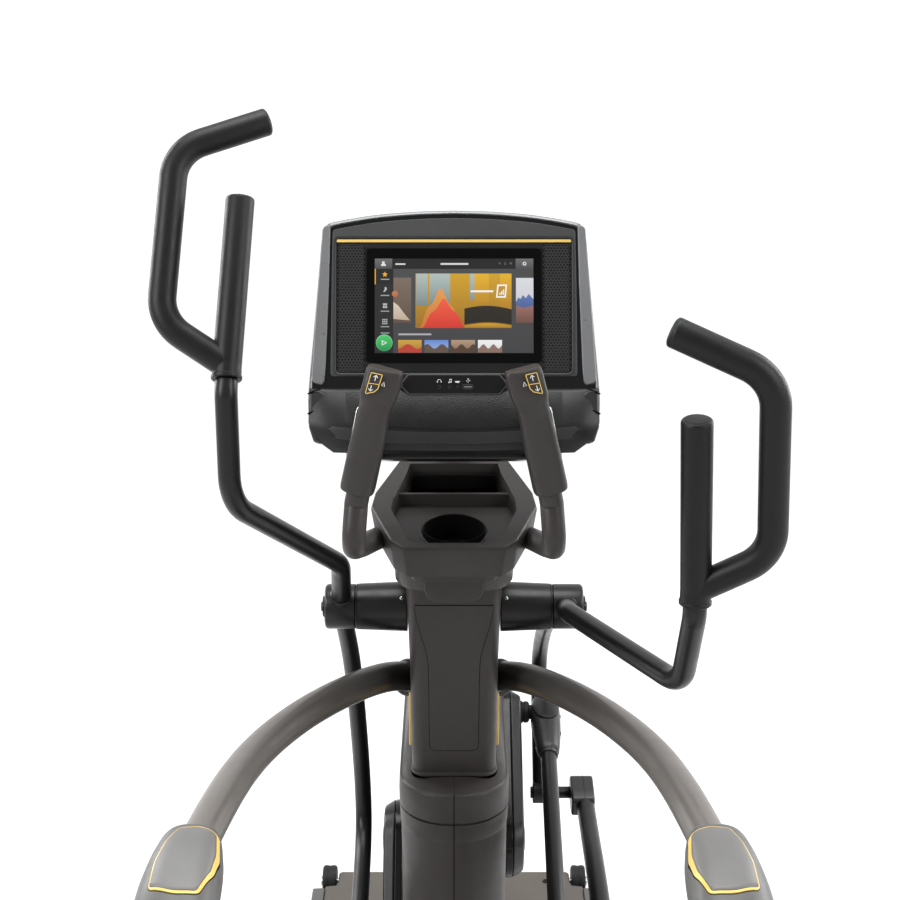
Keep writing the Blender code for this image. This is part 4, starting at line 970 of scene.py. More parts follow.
# Painted shade in the phone pocket: near-black sheets on its walls, floor and back stand in for the shade inside it.
pocket_shade_rings = []
for inset, z in ((0.0004, 1.1955), (0.0004, 1.252), (0.0014, 1.252), (0.0014, 1.1955)):
    pocket_shade_rings.append(pocket_ring(0.07 + (z - 1.195) / 0.145 * 0.01 - inset, z, inset))
floor_plate = [at(p.x, p.y - AXLE.y, 1.1965) for p in pocket_shade_rings[0]]
pocket_floor = loft([pocket_shade_rings[0], floor_plate])
back_wall = prism([(-0.06, -0.2265), (0.06, -0.2265), (0.06, -0.2235), (-0.06, -0.2235)], 1.2525, 1.2735)
piece("pocket_painted_shade", [loft(pocket_shade_rings, closed=True), pocket_floor, back_wall], "seam")
# Painted shade in the cup holder: a near-black band round its wall stands in for the shade inside it.
cup_line = (cup_axis[1] - cup_axis[0]).normalized()
piece(
    "cup_painted_shade",
    lathe([(0.002, 0.0439), (0.046, 0.0439), (0.046, 0.0429), (0.002, 0.0429)], cup_axis[0], cup_line, 56), "seam"
)

tongue_side = [
    (0.0475, 1.112), (0.0475, 1.066), (0.0455, 1.052), (0.0385, 1.0405), (0.0265, 1.034), (0.013, 1.0315), (0, 1.031)
]
tongue = mirrored(curve(tongue_side, 4))
piece("tray_tongue", prism(tongue, 0.086, 0.1425, FRONT), "warm_grey", bevel=0.0035, sharp=30)

collar_levels = [(1.05, 0.0865, 0.002), (1.0515, 0.0905, 0.0005), (1.057, 0.094, 0), (1.082, 0.096, 0)]
collar_levels += [(1.088, 0.0945, 0.001), (1.0902, 0.09, 0.004)]
collar = loft([level_ring(half, -0.132 + cut, 0.112 - cut, 0.045, z) for z, half, cut in collar_levels])
# the collar's lighter grey is painted light, for the light that falls on its top
piece("mast_collar_ring", collar, "collar_painted_light_grey", nodes=["mast_collar"], sharp=50)

cover_levels = [(0.694, 0.066, 0.0045), (0.7015, 0.0695, 0.002), (0.7065, 0.0708, 0), (0.76, 0.0712, 0)]
cover_levels += [(0.84, 0.0718, 0), (0.9, 0.0728, 0), (0.96, 0.0746, 0), (1.01, 0.0768, 0), (1.0498, 0.079, 0)]
cover = loft([level_ring(half, -0.0855 + cut, 0.1 - cut, 0.022, z) for z, half, cut in cover_levels])
piece("mast_cover_shell", cover, "warm_grey", nodes=["mast_cover"], sharp=50)
lip_levels = [(0.7, 0.0715), (0.7035, 0.0722), (0.7068, 0.0714)]
lip = loft([level_ring(half, -0.0868, 0.1, 0.022, z) for z, half in lip_levels])
piece("mast_cover_lip", lip, "mast_grey", bevel=0.0008, sharp=40)

panel_side = [
    (0.0636, 1.007), (0.0606, 0.982), (0.0528, 0.954), (0.0458, 0.929), (0.0424, 0.908), (0.0412, 0.876),
    (0.0405, 0.8)
]
panel_half = [*curve(panel_side, 5), (0.0402, 0.748)]
panel_outline = mirrored(panel_half)
corner = len(panel_half) - 1
rounding = [0.01 if i in (corner, corner + 1) else 0 for i in range(len(panel_outline))]
panel_outline = [
    p for i, p in enumerate(fillet(panel_outline, rounding, 6)) if i % 7 == 0 or i // 7 in (corner, corner + 1)
]
piece("mast_panel_face", prism(panel_outline, 0.0835, 0.0866, FRONT), "mast_grey", nodes=["mast_panel"], bevel=0.0006)
seam_path = placed(FRONT, panel_outline, 0.0853)
piece("mast_panel_seam", band(seam_path, 0.0017, 0.0007, (0, -1, 0), closed=True), "seam")
for side in side_list:
    sign = side.sign
    blade = [
        (-0.052, 0.736), (-0.04, 0.744), (-0.03, 0.79), (-0.038, 0.829), (-0.05, 0.838), (-0.058, 0.825),
        (-0.06, 0.76)
    ]
    blade = fillet(blade, 0.008, 5)
    side.piece("mast_gold", side.slab(blade, 0.069, 0.0752), "gold", bevel=0.0012)
    root_line = (Vector((0.12, -0.026, 0.851)) - Vector((0.034, 0.085, 0.8))).normalized()
    root = at(sign * 0.079, 0.027, 0.8275)
    direction = Vector((sign * root_line.x, root_line.y, root_line.z))
    ring = [(-0.012, 0.0255), (-0.012, 0.0315), (0.0015, 0.032), (0.0045, 0.0305), (0.0055, 0.027), (0.0055, 0.0252)]
    side.piece("arch_root", lathe(ring, root, direction, 48), "satin_black", sharp=50)
keep("mast_post", "satin_black", 0.001)

# ---------------------------------------------------------------- stationary handles

GRIP_BOTTOM, GRIP_TOP = (0.123, -0.465, 1.33), (0.088, -0.496, 1.5)
HANDLE_POINTS = [(0.045, -0.13, 1.145), (0.095, -0.29, 1.203), (0.129, -0.425, 1.236), (0.133, -0.474, 1.26)]
for side in side_list:
    sign = side.sign
    bottom, top = (at(sign * p[0], p[1], p[2]) for p in (GRIP_BOTTOM, GRIP_TOP))
    along = (top - bottom).normalized()
    path = smooth([at(sign * x, y, z) for x, y, z in HANDLE_POINTS] + [bottom - along * 0.02 + X_AXIS * sign * 0.003], 8) + [
        bottom + X_AXIS * sign * 0.003
    ]
    side.piece("handle_bar", tube(path, 0.016, 32), "warm_grey", node="handle_tube")

    to_user = Vector((0, -0.8, 0.6))
    wrap = facing(along, to_user, bottom)
    # height up the grip, half width, half depth, squareness, shift outward, shift back
    sections = [
        (0.0003, 0.0215, 0.0185, 2.6, 0.005, 0), (0.0008, 0.0225, 0.0195, 2.7, 0.005, 0),
        (0.006, 0.0229, 0.02, 2.9, 0.005, 0), (0.04, 0.0226, 0.0198, 3.0, 0.0045, 0),
        (0.08, 0.022, 0.0192, 3.0, 0.004, 0), (0.108, 0.0208, 0.0186, 3.0, 0.0035, 0),
        (0.124, 0.0208, 0.0187, 3.0, 0.003, 0), (0.132, 0.022, 0.02, 3.2, 0.002, 0),
        (0.139, 0.0232, 0.0218, 3.6, 0.0015, 0), (0.146, 0.0238, 0.0226, 4.2, 0.001, 0.0002),
        (0.16, 0.024, 0.019, 4.6, 0, 0.001), (0.172, 0.0238, 0.0147, 4.6, 0, 0.0015),
        (0.177, 0.023, 0.012, 4.2, 0, 0.0012), (0.179, 0.0212, 0.0085, 3.6, 0, 0)
    ]
    rings = []
    for up, wide, deep, power, shift, back in sections:
        ring = []
        for a in turn(56):
            c, sn = superellipse(a, power)
            # the side towards the middle of the machine falls away from the front facet
            fall = max(0, -sign * c) * max(0, min(1, (up - 0.12) / 0.03))
            ring.append(
                wrap @ Vector((wide * c + sign * shift, up + 0.002 * fall, deep * sn * (1 - 0.28 * fall) - back))
            )
        rings.append(ring)
    strip_frame = facing(
        along, Vector((sign, 0.2, 0)), bottom + along * 0.085 + Vector((sign, 0.2, 0)).normalized() * 0.0245
    )
    side.piece("handle_body", loft(rings), "warm_grey", node="handle_grip", sharp=34, bevel=0.0006)

    # The rocker key sits on the head, in two halves with a gold edge, and rides on its own body.
    key = wrap @ Matrix.Translation((sign * 0.0062, 0.163, 0.0171)) @ Matrix.Rotation(radians(-20.5), 4, "X")
    up_normal = key.to_3x3() @ Z_AXIS
    outline = [(0.0088, 0.0152), (-0.0072, 0.016), (-0.006, -0.005), (-0.002, -0.011), (0.0098, -0.017)]
    outline = fillet([(sign * x * 0.94, y * 0.9) for x, y in outline], 0.0012, 4)
    side.piece("toggle_key", prism(outline, -0.003, 0.0022, key), "warm_grey", "rocker", "toggle", bevel=0.0004)
    edge_path = [key @ Vector((x * 0.96, y * 0.97, 0.0021)) for x, y in outline]
    gold = [band(edge_path, 0.001, 0.0004, up_normal, closed=True)]
    gold.append(
        band(
            [key @ Vector((sign * x, y, 0.0021)) for x, y in ((-0.0062, 0.0012), (0.0088, -0.0008))], 0.0009, 0.0004,
            up_normal
        )
    )
    side.piece("toggle_gold", gold, "gold", "rocker")
    arrows = []
    for middle, x, heading in ((0.0076, 0.001, 1), (-0.006, 0.0036, -1)):
        stem = rectangle(sign * x - 0.0005, middle - 0.0034, sign * x + 0.0005, middle + 0.0034)
        arrows.append(prism(stem, 0.002, 0.0025, key))
        chevron = [
            (-0.0028, middle + heading * 0.001), (0, middle + heading * 0.004), (0.0028, middle + heading * 0.001)
        ]
        arrows.append(band([key @ Vector((sign * x + u, y, 0.002)) for u, y in chevron], 0.001, 0.0005, up_normal))
    side.piece("toggle_arrows", arrows, "white_print", "rocker")
    side_x = -sign * 0.0105
    triangle = [(side_x - 0.0022, 0.0005), (side_x + 0.0022, 0.0005), (side_x, 0.0056)]
    mark = [band(placed(key, triangle, 0.0000), 0.0008, 0.0016, up_normal, closed=True)]
    side.piece("handle_mark", mark, "white_print")

    strip_outline = rectangle(-0.0085, -0.039, 0.0085, 0.039, 0.0075, 8)
    side.piece(
        "contact_strip", prism(strip_outline, -0.004, 0.0016, strip_frame), "bright_strip", node="contact_plate",
        bevel=0.0008
    )
    seat_path = [strip_frame @ Vector((x * 1.16, y * 1.025, -0.0012)) for x, y in strip_outline]
    side.piece(
        "contact_seat", band(seat_path, 0.0016, 0.0014, strip_frame.to_3x3() @ Z_AXIS, closed=True), "gloss_black"
    )

# ---------------------------------------------------------------- axle and swing arms

keep("axle_shaft", "steel")
for side in side_list:
    sign = side.sign
    casing = [(0.0775, 0.0165), (0.0775, 0.04), (0.0785, 0.0415), (0.1, 0.0408), (0.156, 0.0384), (0.16, 0.038)]
    casing += [(0.1606, 0.0372), (0.1612, 0.0379), (0.1625, 0.0377), (0.1635, 0.0368), (0.1637, 0.0165)]
    shape = side.spun(casing, AXLE, 72)
    side.piece("axle_cover", shape, "satin_black", node="axle_casing", sharp=30)
    heads = []
    for normal in (Vector((0, -0.75, 0.66)).normalized(), Vector((0, 0.6, 0.8)).normalized()):
        heads.append(screw(Vector((sign * 0.0862, AXLE.y, AXLE.z)) + normal * 0.0408, normal, 0.0032, 0.0012))
    side.piece("axle_screws", heads, "steel")

ARM_LOWER = [(0.188, 0, 0), (0.178, 0.17, -0.15), (0.172, 0.36, -0.43), (0.17, 0.158, -0.597)]
ARM_UPPER = [(0.188, 0, 0), (0.181, -0.113, 0.08), (0.316, -0.407, 0.19), (0.316, -0.448, 0.345)]
UPPER_TUBE, LOWER_TUBE = 0.016, 0.0155
SLEEVE = [(0.316, -0.437, 0.384), (0.302, -0.401, 0.623)]
LOOP = [(0.316, -0.437, 0.384), (0.408, -0.444, 0.445), (0.392, -0.409, 0.687), (0.265, -0.377, 0.735)]
for side in side_list:
    sign = side.sign
    body = "swing_arm"
    hub_profile = [
        (0.1642, 0), (0.1642, 0.036), (0.165, 0.0375), (0.209, 0.0375), (0.2125, 0.0362), (0.2145, 0.0335), (0.215, 0)
    ]
    hub = side.spun(hub_profile, AXLE, 72)
    seam = Vector(ARM_UPPER[-1]).lerp(Vector(SLEEVE[0]), 0.46)
    upper = tube(fillet([side.arm(p) for p in [*ARM_UPPER, seam]], 0.075, 10, closed=False), UPPER_TUBE, 32)
    lower = tube(smooth([side.arm(p) for p in ARM_LOWER], 14), LOWER_TUBE, 32)
    boss_profile = [(0.1545, 0), (0.1545, 0.0195), (0.156, 0.021), (0.1855, 0.021), (0.187, 0.0195), (0.187, 0)]
    boss = side.spun(boss_profile, side.arm_pin, 40)
    weld = []
    for points, radius in ((ARM_UPPER, UPPER_TUBE), (ARM_LOWER, LOWER_TUBE)):
        start = side.arm(points[0])
        heading = (side.arm(points[1]) - start).normalized()
        ring = [
            (0.034, radius + 0.0035), (0.0368, radius + 0.003), (0.0392, radius + 0.0008), (0.0392, radius - 0.002),
            (0.034, radius - 0.002)
        ]
        weld.append(lathe(ring, start, heading, 32))
    side.piece("arm_bar", [hub, upper, lower, boss, *weld], "satin_black", body, "arm_tube", sharp=30)

    gap = (side.arm(SLEEVE[0]) - side.arm(ARM_UPPER[-1])).normalized() * 0.0006
    sleeve_path = fillet([side.arm(seam) + gap, side.arm(SLEEVE[0]), side.arm(SLEEVE[1])], 0.05, 8, closed=False)
    loop_path = fillet([side.arm(p) for p in LOOP], 0.062, 12, closed=False)
    start, after = sleeve_path[0], sleeve_path[1]
    heading = (after - start).normalized()
    cuff = [(0, 0.0165), (0, 0.0205), (0.0012, 0.0216), (0.0052, 0.0217), (0.0064, 0.0206), (0.0064, 0.0165)]
    grip = [
        tube(sleeve_path, 0.0205, 36, (0.0015, 0.0045)), tube(loop_path, 0.0197, 36, (0, 0.0045)),
        lathe(cuff, start, heading, 36)
    ]
    side.piece("arm_hold", grip, "grip_rubber", body, "arm_grip", sharp=40)
    plugs = []
    for path in (sleeve_path, loop_path):
        heading = (path[-1] - path[-2]).normalized()
        plugs.append(
            lathe([(-0.004, 0), (-0.004, 0.015), (0.0002, 0.015), (0.001, 0.0135), (0.001, 0)], path[-1], heading, 36)
        )
        rim_ring = [(-0.0008, 0.015), (-0.0008, 0.0163), (0.0003, 0.016), (0.0003, 0.0152)]
        plugs.append(lathe(rim_ring, path[-1], heading, 36))
    side.piece("arm_plugs", plugs, "rubber", body, bevel=0.0003)

    cap = [(0.2152, 0), (0.2152, 0.0172), (0.2168, 0.0178), (0.219, 0.017), (0.2196, 0.0105), (0.2196, 0)]
    shapes = [side.spun(cap, AXLE, 48)]
    hexagon_ring = [(0.219, 0.0085), (0.2215, 0.0085), (0.222, 0.0078), (0.222, 0)]
    shapes.append(lathe([(sign * 0.219, 0), *[(sign * x, r) for x, r in hexagon_ring]], AXLE, sides=6))
    side.piece("hub_bolt", shapes, "satin_black", body, "hub_cap", bevel=0.0004)

    pin = [(0.15, 0), (0.15, 0.0105), (0.1512, 0.0115), (0.2505, 0.0115), (0.2515, 0.0108), (0.2515, 0)]
    side.piece("foot_shaft", side.spun(pin, side.arm_pin, 40), "satin_black", body, "foot_pin")
    washer = [(0.1874, 0.012), (0.1874, 0.0165), (0.1898, 0.0165), (0.1898, 0.012)]
    side.piece("foot_washer", side.spun(washer, side.arm_pin, 36), "steel", body, bevel=0.0004)

# ---------------------------------------------------------------- arches and their housings

ARCH = [
    (0.034, 0.085, 0.8), (0.12, -0.026, 0.851), (0.217, -0.186, 0.877), (0.285, -0.4, 0.909), (0.314, -0.64, 0.94),
    (0.328, -0.8, 0.925), (0.338, -0.96, 0.8), (0.342, -1.09, 0.48), (0.345, -1.2, 0.11)
]
STATIONS = [
    # y, inner x, outer x, low z, high z
    (-0.7, 0.289, 0.369, 0.88, 0.973), (-0.74, 0.286, 0.378, 0.862, 0.9715), (-0.79, 0.283, 0.3855, 0.835, 0.963),
    (-0.85, 0.277, 0.389, 0.8, 0.944), (-0.91, 0.2735, 0.388, 0.76, 0.905), (-0.955, 0.285, 0.379, 0.73, 0.865),
]
INNER_POWER, OUTER_POWER = 3.4, 2.3
station_curve = smooth(STATIONS, 8)


def station(y):
    """The housing's section at a place along it: inner x, outer x, low z, high z."""
    y = min(max(y, station_curve[-1][0]), station_curve[0][0])
    for here, there in zip(station_curve, station_curve[1:]):
        if there[0] <= y <= here[0]:
            return here.lerp(there, (here[0] - y) / (here[0] - there[0]))[1:]
    return station_curve[-1][1:]


for side in side_list:
    sign = side.sign
    path = smooth([at(sign * x, y, z) for x, y, z in ARCH], 12)
    foot = side.slab(rectangle(-1.24, 0.0853, -1.18, 0.1, 0.004), 0.312, 0.373)
    gusset = [(-1.236, 0.099), (-1.184, 0.099), (-1.188, 0.118), (-1.215, 0.128)]
    shapes = [tube(path, 0.025, 40), foot, side.slab(fillet(gusset, 0.004, 3), 0.322, 0.366)]
    side.piece("arch_bar", shapes, "gunmetal", node="arch_tube", sharp=30)

    def housing(y, angle, offset=0, sign=sign):
        x0, x1, z0, z1 = station(y)
        c, s = superellipse(angle, OUTER_POWER if cos(angle) > 0 else INNER_POWER)
        wide, tall = (x1 - x0) / 2 + offset, (z1 - z0) / 2 + offset
        return at(sign * ((x0 + x1) / 2 + wide * c), y, (z0 + z1) / 2 + tall * s)

    def on_top(y, x, offset, sign=sign):
        """The same surface by its width: y, x and a lift."""
        x0, x1, z0, z1 = station(y)
        slope = (x - (x0 + x1) / 2) / ((x1 - x0) / 2)
        power = OUTER_POWER if slope > 0 else INNER_POWER
        tall = (z1 - z0) / 2 * (1 - min(0.99, abs(slope)) ** power) ** (1 / power)
        return at(sign * (x + offset * slope * 0.6), y, (z0 + z1) / 2 + tall + offset)

    places = [-0.6985, -0.6992, -0.7008, -0.704] + [-0.709 - 0.0098 * k for k in range(25)] + [-0.949, -0.953, -0.955]
    rings = []
    for number, y in enumerate(places):
        inset = {0: -0.012, 1: -0.006, 2: -0.0025, 3: -0.0008}.get(number, 0)
        inset = {len(places) - 1: -0.012, len(places) - 2: -0.004}.get(number, inset)
        rings.append([housing(y, a, inset) for a in turn(56)])
    slot_low = side.slab(rectangle(-0.905, 0.7, -0.69, 0.905, 0.01), 0.2745, 0.302)
    side.piece("housing", loft(rings), "housing_grey", node="arch_housing", sharp=50, cuts=[slot_low])

    pad = [(-0.7165, 0.2945), (-0.7135, 0.318), (-0.7165, 0.34), (-0.74, 0.352), (-0.774, 0.3597), (-0.815, 0.36)]
    pad += [(-0.826, 0.33), (-0.8235, 0.3035), (-0.783, 0.2925), (-0.75, 0.2905)]
    pad = fillet(pad, [0.005, 0.03, 0.006, 0.06, 0.06, 0.006, 0.05, 0.006, 0.06, 0.06], 5)
    fine = []
    for first, second in zip(pad, pad[1:] + pad[:1]):
        steps = max(1, round(dist(first, second) / 0.004))
        fine += [
            (first[0] + (second[0] - first[0]) * k / steps, first[1] + (second[1] - first[1]) * k / steps)
            for k in range(steps)
        ]
    pad = fine
    middle = centre_of(pad)

    def around(inner_side, lower_side, rest, pad=pad, middle=middle):
        """The pad's outline moved outward, by its own amount on each side."""
        moved = []
        for i, (y, x) in enumerate(pad):
            ahead = Vector(
                (pad[(i + 1) % len(pad)][0] - pad[i - 1][0], pad[(i + 1) % len(pad)][1] - pad[i - 1][1])
            ).normalized()
            out = Vector((ahead.y, -ahead.x))
            if out.dot(Vector((y - middle[0], x - middle[1]))) < 0:
                out = -out
            reach = rest + (inner_side - rest) * max(0, -out.y) ** 2 + (lower_side - rest) * max(0, -out.x) ** 2
            moved.append((y + out.x * reach, x + out.y * reach))
        return moved

    def ribbon(first, second, lift, on_top=on_top):
        """A strip on the housing between two outlines."""
        rings = []
        for (y0, x0), (y1, x1) in zip(first, second):
            rings.append([on_top(y0, x0, -0.001), on_top(y1, x1, -0.001), on_top(y1, x1, lift), on_top(y0, x0, lift)])
        return loft(rings, closed=True)

    side.piece("housing_pad", raised(on_top, pad, 0.0024), "pad_grey", sharp=50)
    gold_edge = around(0.0036, 0.0032, 0.001)
    side.piece("housing_gold", ribbon(pad, gold_edge, 0.0014), "gold", sharp=40)
    side.piece("housing_groove", ribbon(gold_edge, around(0.0044, 0.004, 0.0017), 0.0003), "seam")
    cap_y = -0.885
    cap_point = housing(cap_y, radians(90))
    cap_normal = Vector((0, -0.42, 0.9)).normalized()
    cap_profile = [(-0.006, 0), (-0.006, 0.0125), (0.0015, 0.0125), (0.0028, 0.0108), (0.003, 0)]
    side.piece(
        "housing_cap", lathe(cap_profile, cap_point + Vector((sign * 0.004, 0, 0)), cap_normal, 40), "rubber",
        bevel=0.0006
    )
    pivot_profile = [(0.378, 0), (0.378, 0.015), (0.3845, 0.015), (0.3862, 0.0135), (0.3862, 0)]
    centre = Vector((0, HANGER.y, HANGER.z + 0.02))
    side.piece("hanger_cap", side.spun(pivot_profile, centre, 40), "satin_black", bevel=0.0005)

# ---------------------------------------------------------------- drive shroud

SHROUD = [
    # z, half width, front y, rear y, corner radius
    (0.0845, 0.0865, -0.1265, 0.5, 0.08), (0.3, 0.088, -0.128, 0.5, 0.082), (0.598, 0.09, -0.13, 0.5, 0.085),
    (0.6015, 0.0903, -0.1304, 0.5, 0.085), (0.6045, 0.0915, -0.1318, 0.5, 0.086),
    (0.633, 0.0922, -0.1326, 0.496, 0.086),
    (0.6342, 0.0895, -0.1298, 0.494, 0.084), (0.6368, 0.0895, -0.1298, 0.493, 0.084),
    (0.638, 0.093, -0.1334, 0.492, 0.086),
    (0.66, 0.0932, -0.1338, 0.484, 0.086), (0.6835, 0.0925, -0.1328, 0.468, 0.086),
    (0.687, 0.091, -0.131, 0.464, 0.085),
    (0.6885, 0.088, -0.1275, 0.46, 0.083), (0.6925, 0.0873, -0.114, 0.454, 0.082),
    (0.6965, 0.0866, -0.096, 0.447, 0.08),
    (0.7, 0.0858, -0.082, 0.44, 0.078), (0.73, 0.0815, -0.072, 0.39, 0.074), (0.75, 0.079, -0.056, 0.35, 0.072),
    (0.76, 0.0765, -0.05, 0.33, 0.07),
]
shroud_outer = [level_ring(half, y0, y1, r, z, 12) for z, half, y0, y1, r in SHROUD]
wall = 0.0035
shroud_inner = []
for z, half, y0, y1, r in SHROUD:
    height = {SHROUD[0][0]: z - 0.03, SHROUD[-1][0]: z - wall}.get(z, z)
    shroud_inner.append(level_ring(half - wall - 0.002, y0 + wall + 0.002, y1 - wall, r - wall, height, 12))
front_line = [at(0, y0 - 0.0002, z) for z, half, y0, y1, r in SHROUD if 0.09 < z < 0.69]
piece(
    "shroud_front_seam", band([at(0, SHROUD[0][2] - 0.0002, 0.086), *front_line], 0.0013, 0.0004, (0, -1, 0)), "seam"
)
for side in side_list:
    sign = side.sign
    x_other = sorted((sign * 0.0002, -sign * 0.2))
    other_half = prism([(x_other[1], 0.7), (x_other[0], 0.7), (x_other[0], -0.3), (x_other[1], -0.3)], 0, 1)
    crank_hole = lathe([(-0.12, 0), (-0.12, 0.02), (0.12, 0.02), (0.12, 0)], CRANK, sides=40)
    mast_room = prism(rectangle(-0.0722, -0.0862, 0.0722, 0.1004, 0.024, 8), 0.6905, 0.9)
    side.piece(
        "shroud_half", loft(shroud_outer), "warm_grey", node="shroud", sharp=40,
        cuts=[loft(shroud_inner), mast_room, crank_hole, other_half]
    )
    hub_ring = [(0.088, 0.0205), (0.088, 0.03), (0.0925, 0.029), (0.0935, 0.0265), (0.0935, 0.0205)]
    side.piece("crank_seal", side.spun(hub_ring, CRANK, 56), "rubber", bevel=0.0006)
    heads = [
        screw(at(sign * 0.0905, y, z), (sign, 0, 0), 0.0045, 0.002)
        for y, z in ((-0.02, 0.15), (0.4, 0.15), (0.02, 0.56), (0.38, 0.56))
    ]
    side.piece("shroud_screws", heads, "satin_black")

# ---------------------------------------------------------------- cranks, rods, foot members, links and pedals

ROD_X, MEMBER_X = 0.1785, 0.255  # how far out the rods and the foot members run
keep("crank_axle", "steel")
keep("drive_pulley", "iron", 0.0012)
keep("flywheel", "iron", 0.0012)
keep("drive_belt", "rubber", 0.0004)
for side in side_list:
    sign = side.sign
    hub, small = (CRANK.y - AXLE.y, CRANK.z), (side.crank_pin.y - AXLE.y, side.crank_pin.z)
    inner_plate = side.slab(capsule(hub, small, 0.0715, 0.0425, 36), 0.0956, 0.1085)
    outer_plate = side.slab(capsule(hub, small, 0.072, 0.043, 36), 0.1087, 0.13, SIDE, 0.93)
    side.piece("crank_back", inner_plate, "gloss_black", "crank", bevel=0.0015)
    side.piece("crank_cover", outer_plate, "part_grey", "crank", "crank_arm", bevel=0.0045, segments=4)
    centre_cap = [(0.129, 0), (0.129, 0.0245), (0.1318, 0.024), (0.133, 0.0215), (0.133, 0)]
    side.piece("crank_cap", side.spun(centre_cap, CRANK, 48), "gloss_black", "crank", bevel=0.0005)
    knob = [
        (0.127, 0), (0.127, 0.0205), (0.13, 0.0215), (0.134, 0.0215), (0.1348, 0.0195), (0.1366, 0.0195),
        (0.1374, 0.0212)
    ]
    knob += [(0.145, 0.0205), (0.1458, 0.018), (0.147, 0.018), (0.1476, 0.014), (0.1545, 0.0135), (0.1545, 0)]
    side.piece("crank_knob", side.spun(knob, side.crank_pin, 48), "rubber", "crank", bevel=0.0003)

    # Rod: a teardrop housing on the crank pin, in two shells with a raised panel, then a round bar to its eye.
    body = "crank_rod"
    heading = (side.rod_pin - side.crank_pin).normalized()
    start = side.crank_pin + Vector((sign * ROD_X, 0, 0))
    level = Vector((sign, 0, 0))
    outward = heading.cross(level).normalized()
    if outward.y > 0:
        outward = -outward
    DROP = [
        # along the rod, half width across the machine, half depth
        (-0.0375, 0.004, 0.004), (-0.0362, 0.01, 0.0105), (-0.033, 0.0165, 0.0175), (-0.027, 0.0222, 0.0245),
        (-0.017, 0.0262, 0.03), (0, 0.0282, 0.0338), (0.02, 0.0284, 0.0352), (0.045, 0.028, 0.0345),
        (0.075, 0.0265, 0.031), (0.102, 0.024, 0.0262), (0.124, 0.021, 0.0215), (0.136, 0.018, 0.0182),
        (0.1385, 0.015, 0.015),
    ]

    def drop(s, angle, offset=0, start=start, heading=heading, level=level, outward=outward):
        s = min(max(s, DROP[0][0]), DROP[-1][0])
        for (s0, w0, d0), (s1, w1, d1) in zip(DROP, DROP[1:]):
            if s <= s1:
                t = (s - s0) / (s1 - s0)
                wide, deep = w0 + (w1 - w0) * t, d0 + (d1 - d0) * t
                break
        c, sn = superellipse(angle, 2.5)
        return start + heading * s + level * (wide + offset) * c + outward * (deep + offset) * sn

    rings = [[drop(s, a) for a in turn(48)] for s, _, _ in DROP]
    side.piece("rod_shell", loft(rings), "part_grey", body, "rod", sharp=50)
    panel = [(0.018 + 0.047 * cos(a) - 0.004 * sin(a) ** 2, 0.05 * (pi / 2 + radians(52) * sin(a))) for a in turn(40)]

    def on_drop(s, a, offset, drop=drop):
        return drop(s, a / 0.05, offset)

    side.piece("rod_panel", raised(on_drop, panel, 0.002), "charcoal", body, sharp=50)
    side.piece("rod_panel_seam", outlined(on_drop, panel, 1, 1.05, 0.0003), "seam", body)
    split = [drop(s, radians(184), 0.0001) for s in [-0.03 + 0.006 * k for k in range(24)]]
    side.piece("rod_split", tube(split, 0.0007, 8, (0, 0)), "seam", body)
    bar_start, bar_end = start + heading * 0.12, side.rod_pin + Vector((sign * 0.168, 0, 0))
    eye = [(0.148, 0), (0.148, 0.0195), (0.1495, 0.021), (0.1865, 0.021), (0.188, 0.0195), (0.188, 0)]
    cuff = [(0.134, 0.015), (0.134, 0.0175), (0.1405, 0.0178), (0.143, 0.0165), (0.1435, 0.015)]
    shapes = [tube([bar_start, bar_end], 0.015, 36), side.spun(eye, side.rod_pin, 44)]
    side.piece("rod_bar", shapes, "satin_black", body, sharp=30)
    side.piece("rod_cuff", lathe(cuff, start, heading, 40), "part_grey", body, bevel=0.0004)
    heads = [screw(drop(s, radians(12), -0.0006), level, 0.0038, 0.0015) for s in (0.03, 0.082)]
    heads.append(screw(drop(0.078, radians(140), -0.0006), outward - level * 0.6, 0.0028, 0.0012))
    side.piece("rod_screws", heads, "gloss_black", body)

    # Foot member: clevis with a cap, curved bar, web up to the rod, rear boss.
    body = "foot_carrier"
    route = [(0, 0), (0.12, 0.012), (0.34, 0.04), (0.56, 0.034), (0.72, 0), (0.95, 0)]
    path = smooth([side.member(MEMBER_X, back, up) for back, up in route], 10)
    web = capsule((0.54, 0.034), ROD_JOINT, 0.018, 0.0215, 20)
    member_frame = Matrix.Translation(side.arm_pin) @ Matrix(
        ((0, 0, 1, 0), (side.back.y, side.up.y, 0, 0), (side.back.z, side.up.z, 0, 0), (0, 0, 0, 1))
    )
    web_shape = side.slab(web, 0.2395, 0.2625, member_frame)
    rear = [(0.2375, 0), (0.2375, 0.021), (0.239, 0.0225), (0.271, 0.0225), (0.2725, 0.021), (0.2725, 0)]
    rear_boss = side.spun(rear, side.link_pin, 44)
    rod_shaft = [(0.192, 0), (0.192, 0.0085), (0.1928, 0.009), (0.242, 0.009), (0.242, 0)]
    shaft = side.spun(rod_shaft, side.rod_pin, 28)
    collar_profile = [(0.229, 0.0092), (0.229, 0.015), (0.24, 0.016), (0.24, 0.0092)]
    shaft_collar = side.spun(collar_profile, side.rod_pin, 32)
    side.piece(
        "foot_bar", [tube(path, 0.0175, 36), web_shape, rear_boss, shaft, shaft_collar], "satin_black", body,
        "foot_member", sharp=30, bevel=0.0008
    )
    clevis_outline = fillet(
        [
            (-0.0265, 0.022), (-0.014, 0.0275), (0.03, 0.0262), (0.052, 0.021), (0.052, -0.018), (0.02, -0.0262),
            (-0.0265, -0.022)
        ],
        0.011, 6
    )
    side.piece(
        "foot_clevis", side.slab(clevis_outline, 0.2278, 0.2728, member_frame), "part_grey", body, bevel=0.0042,
        segments=4
    )
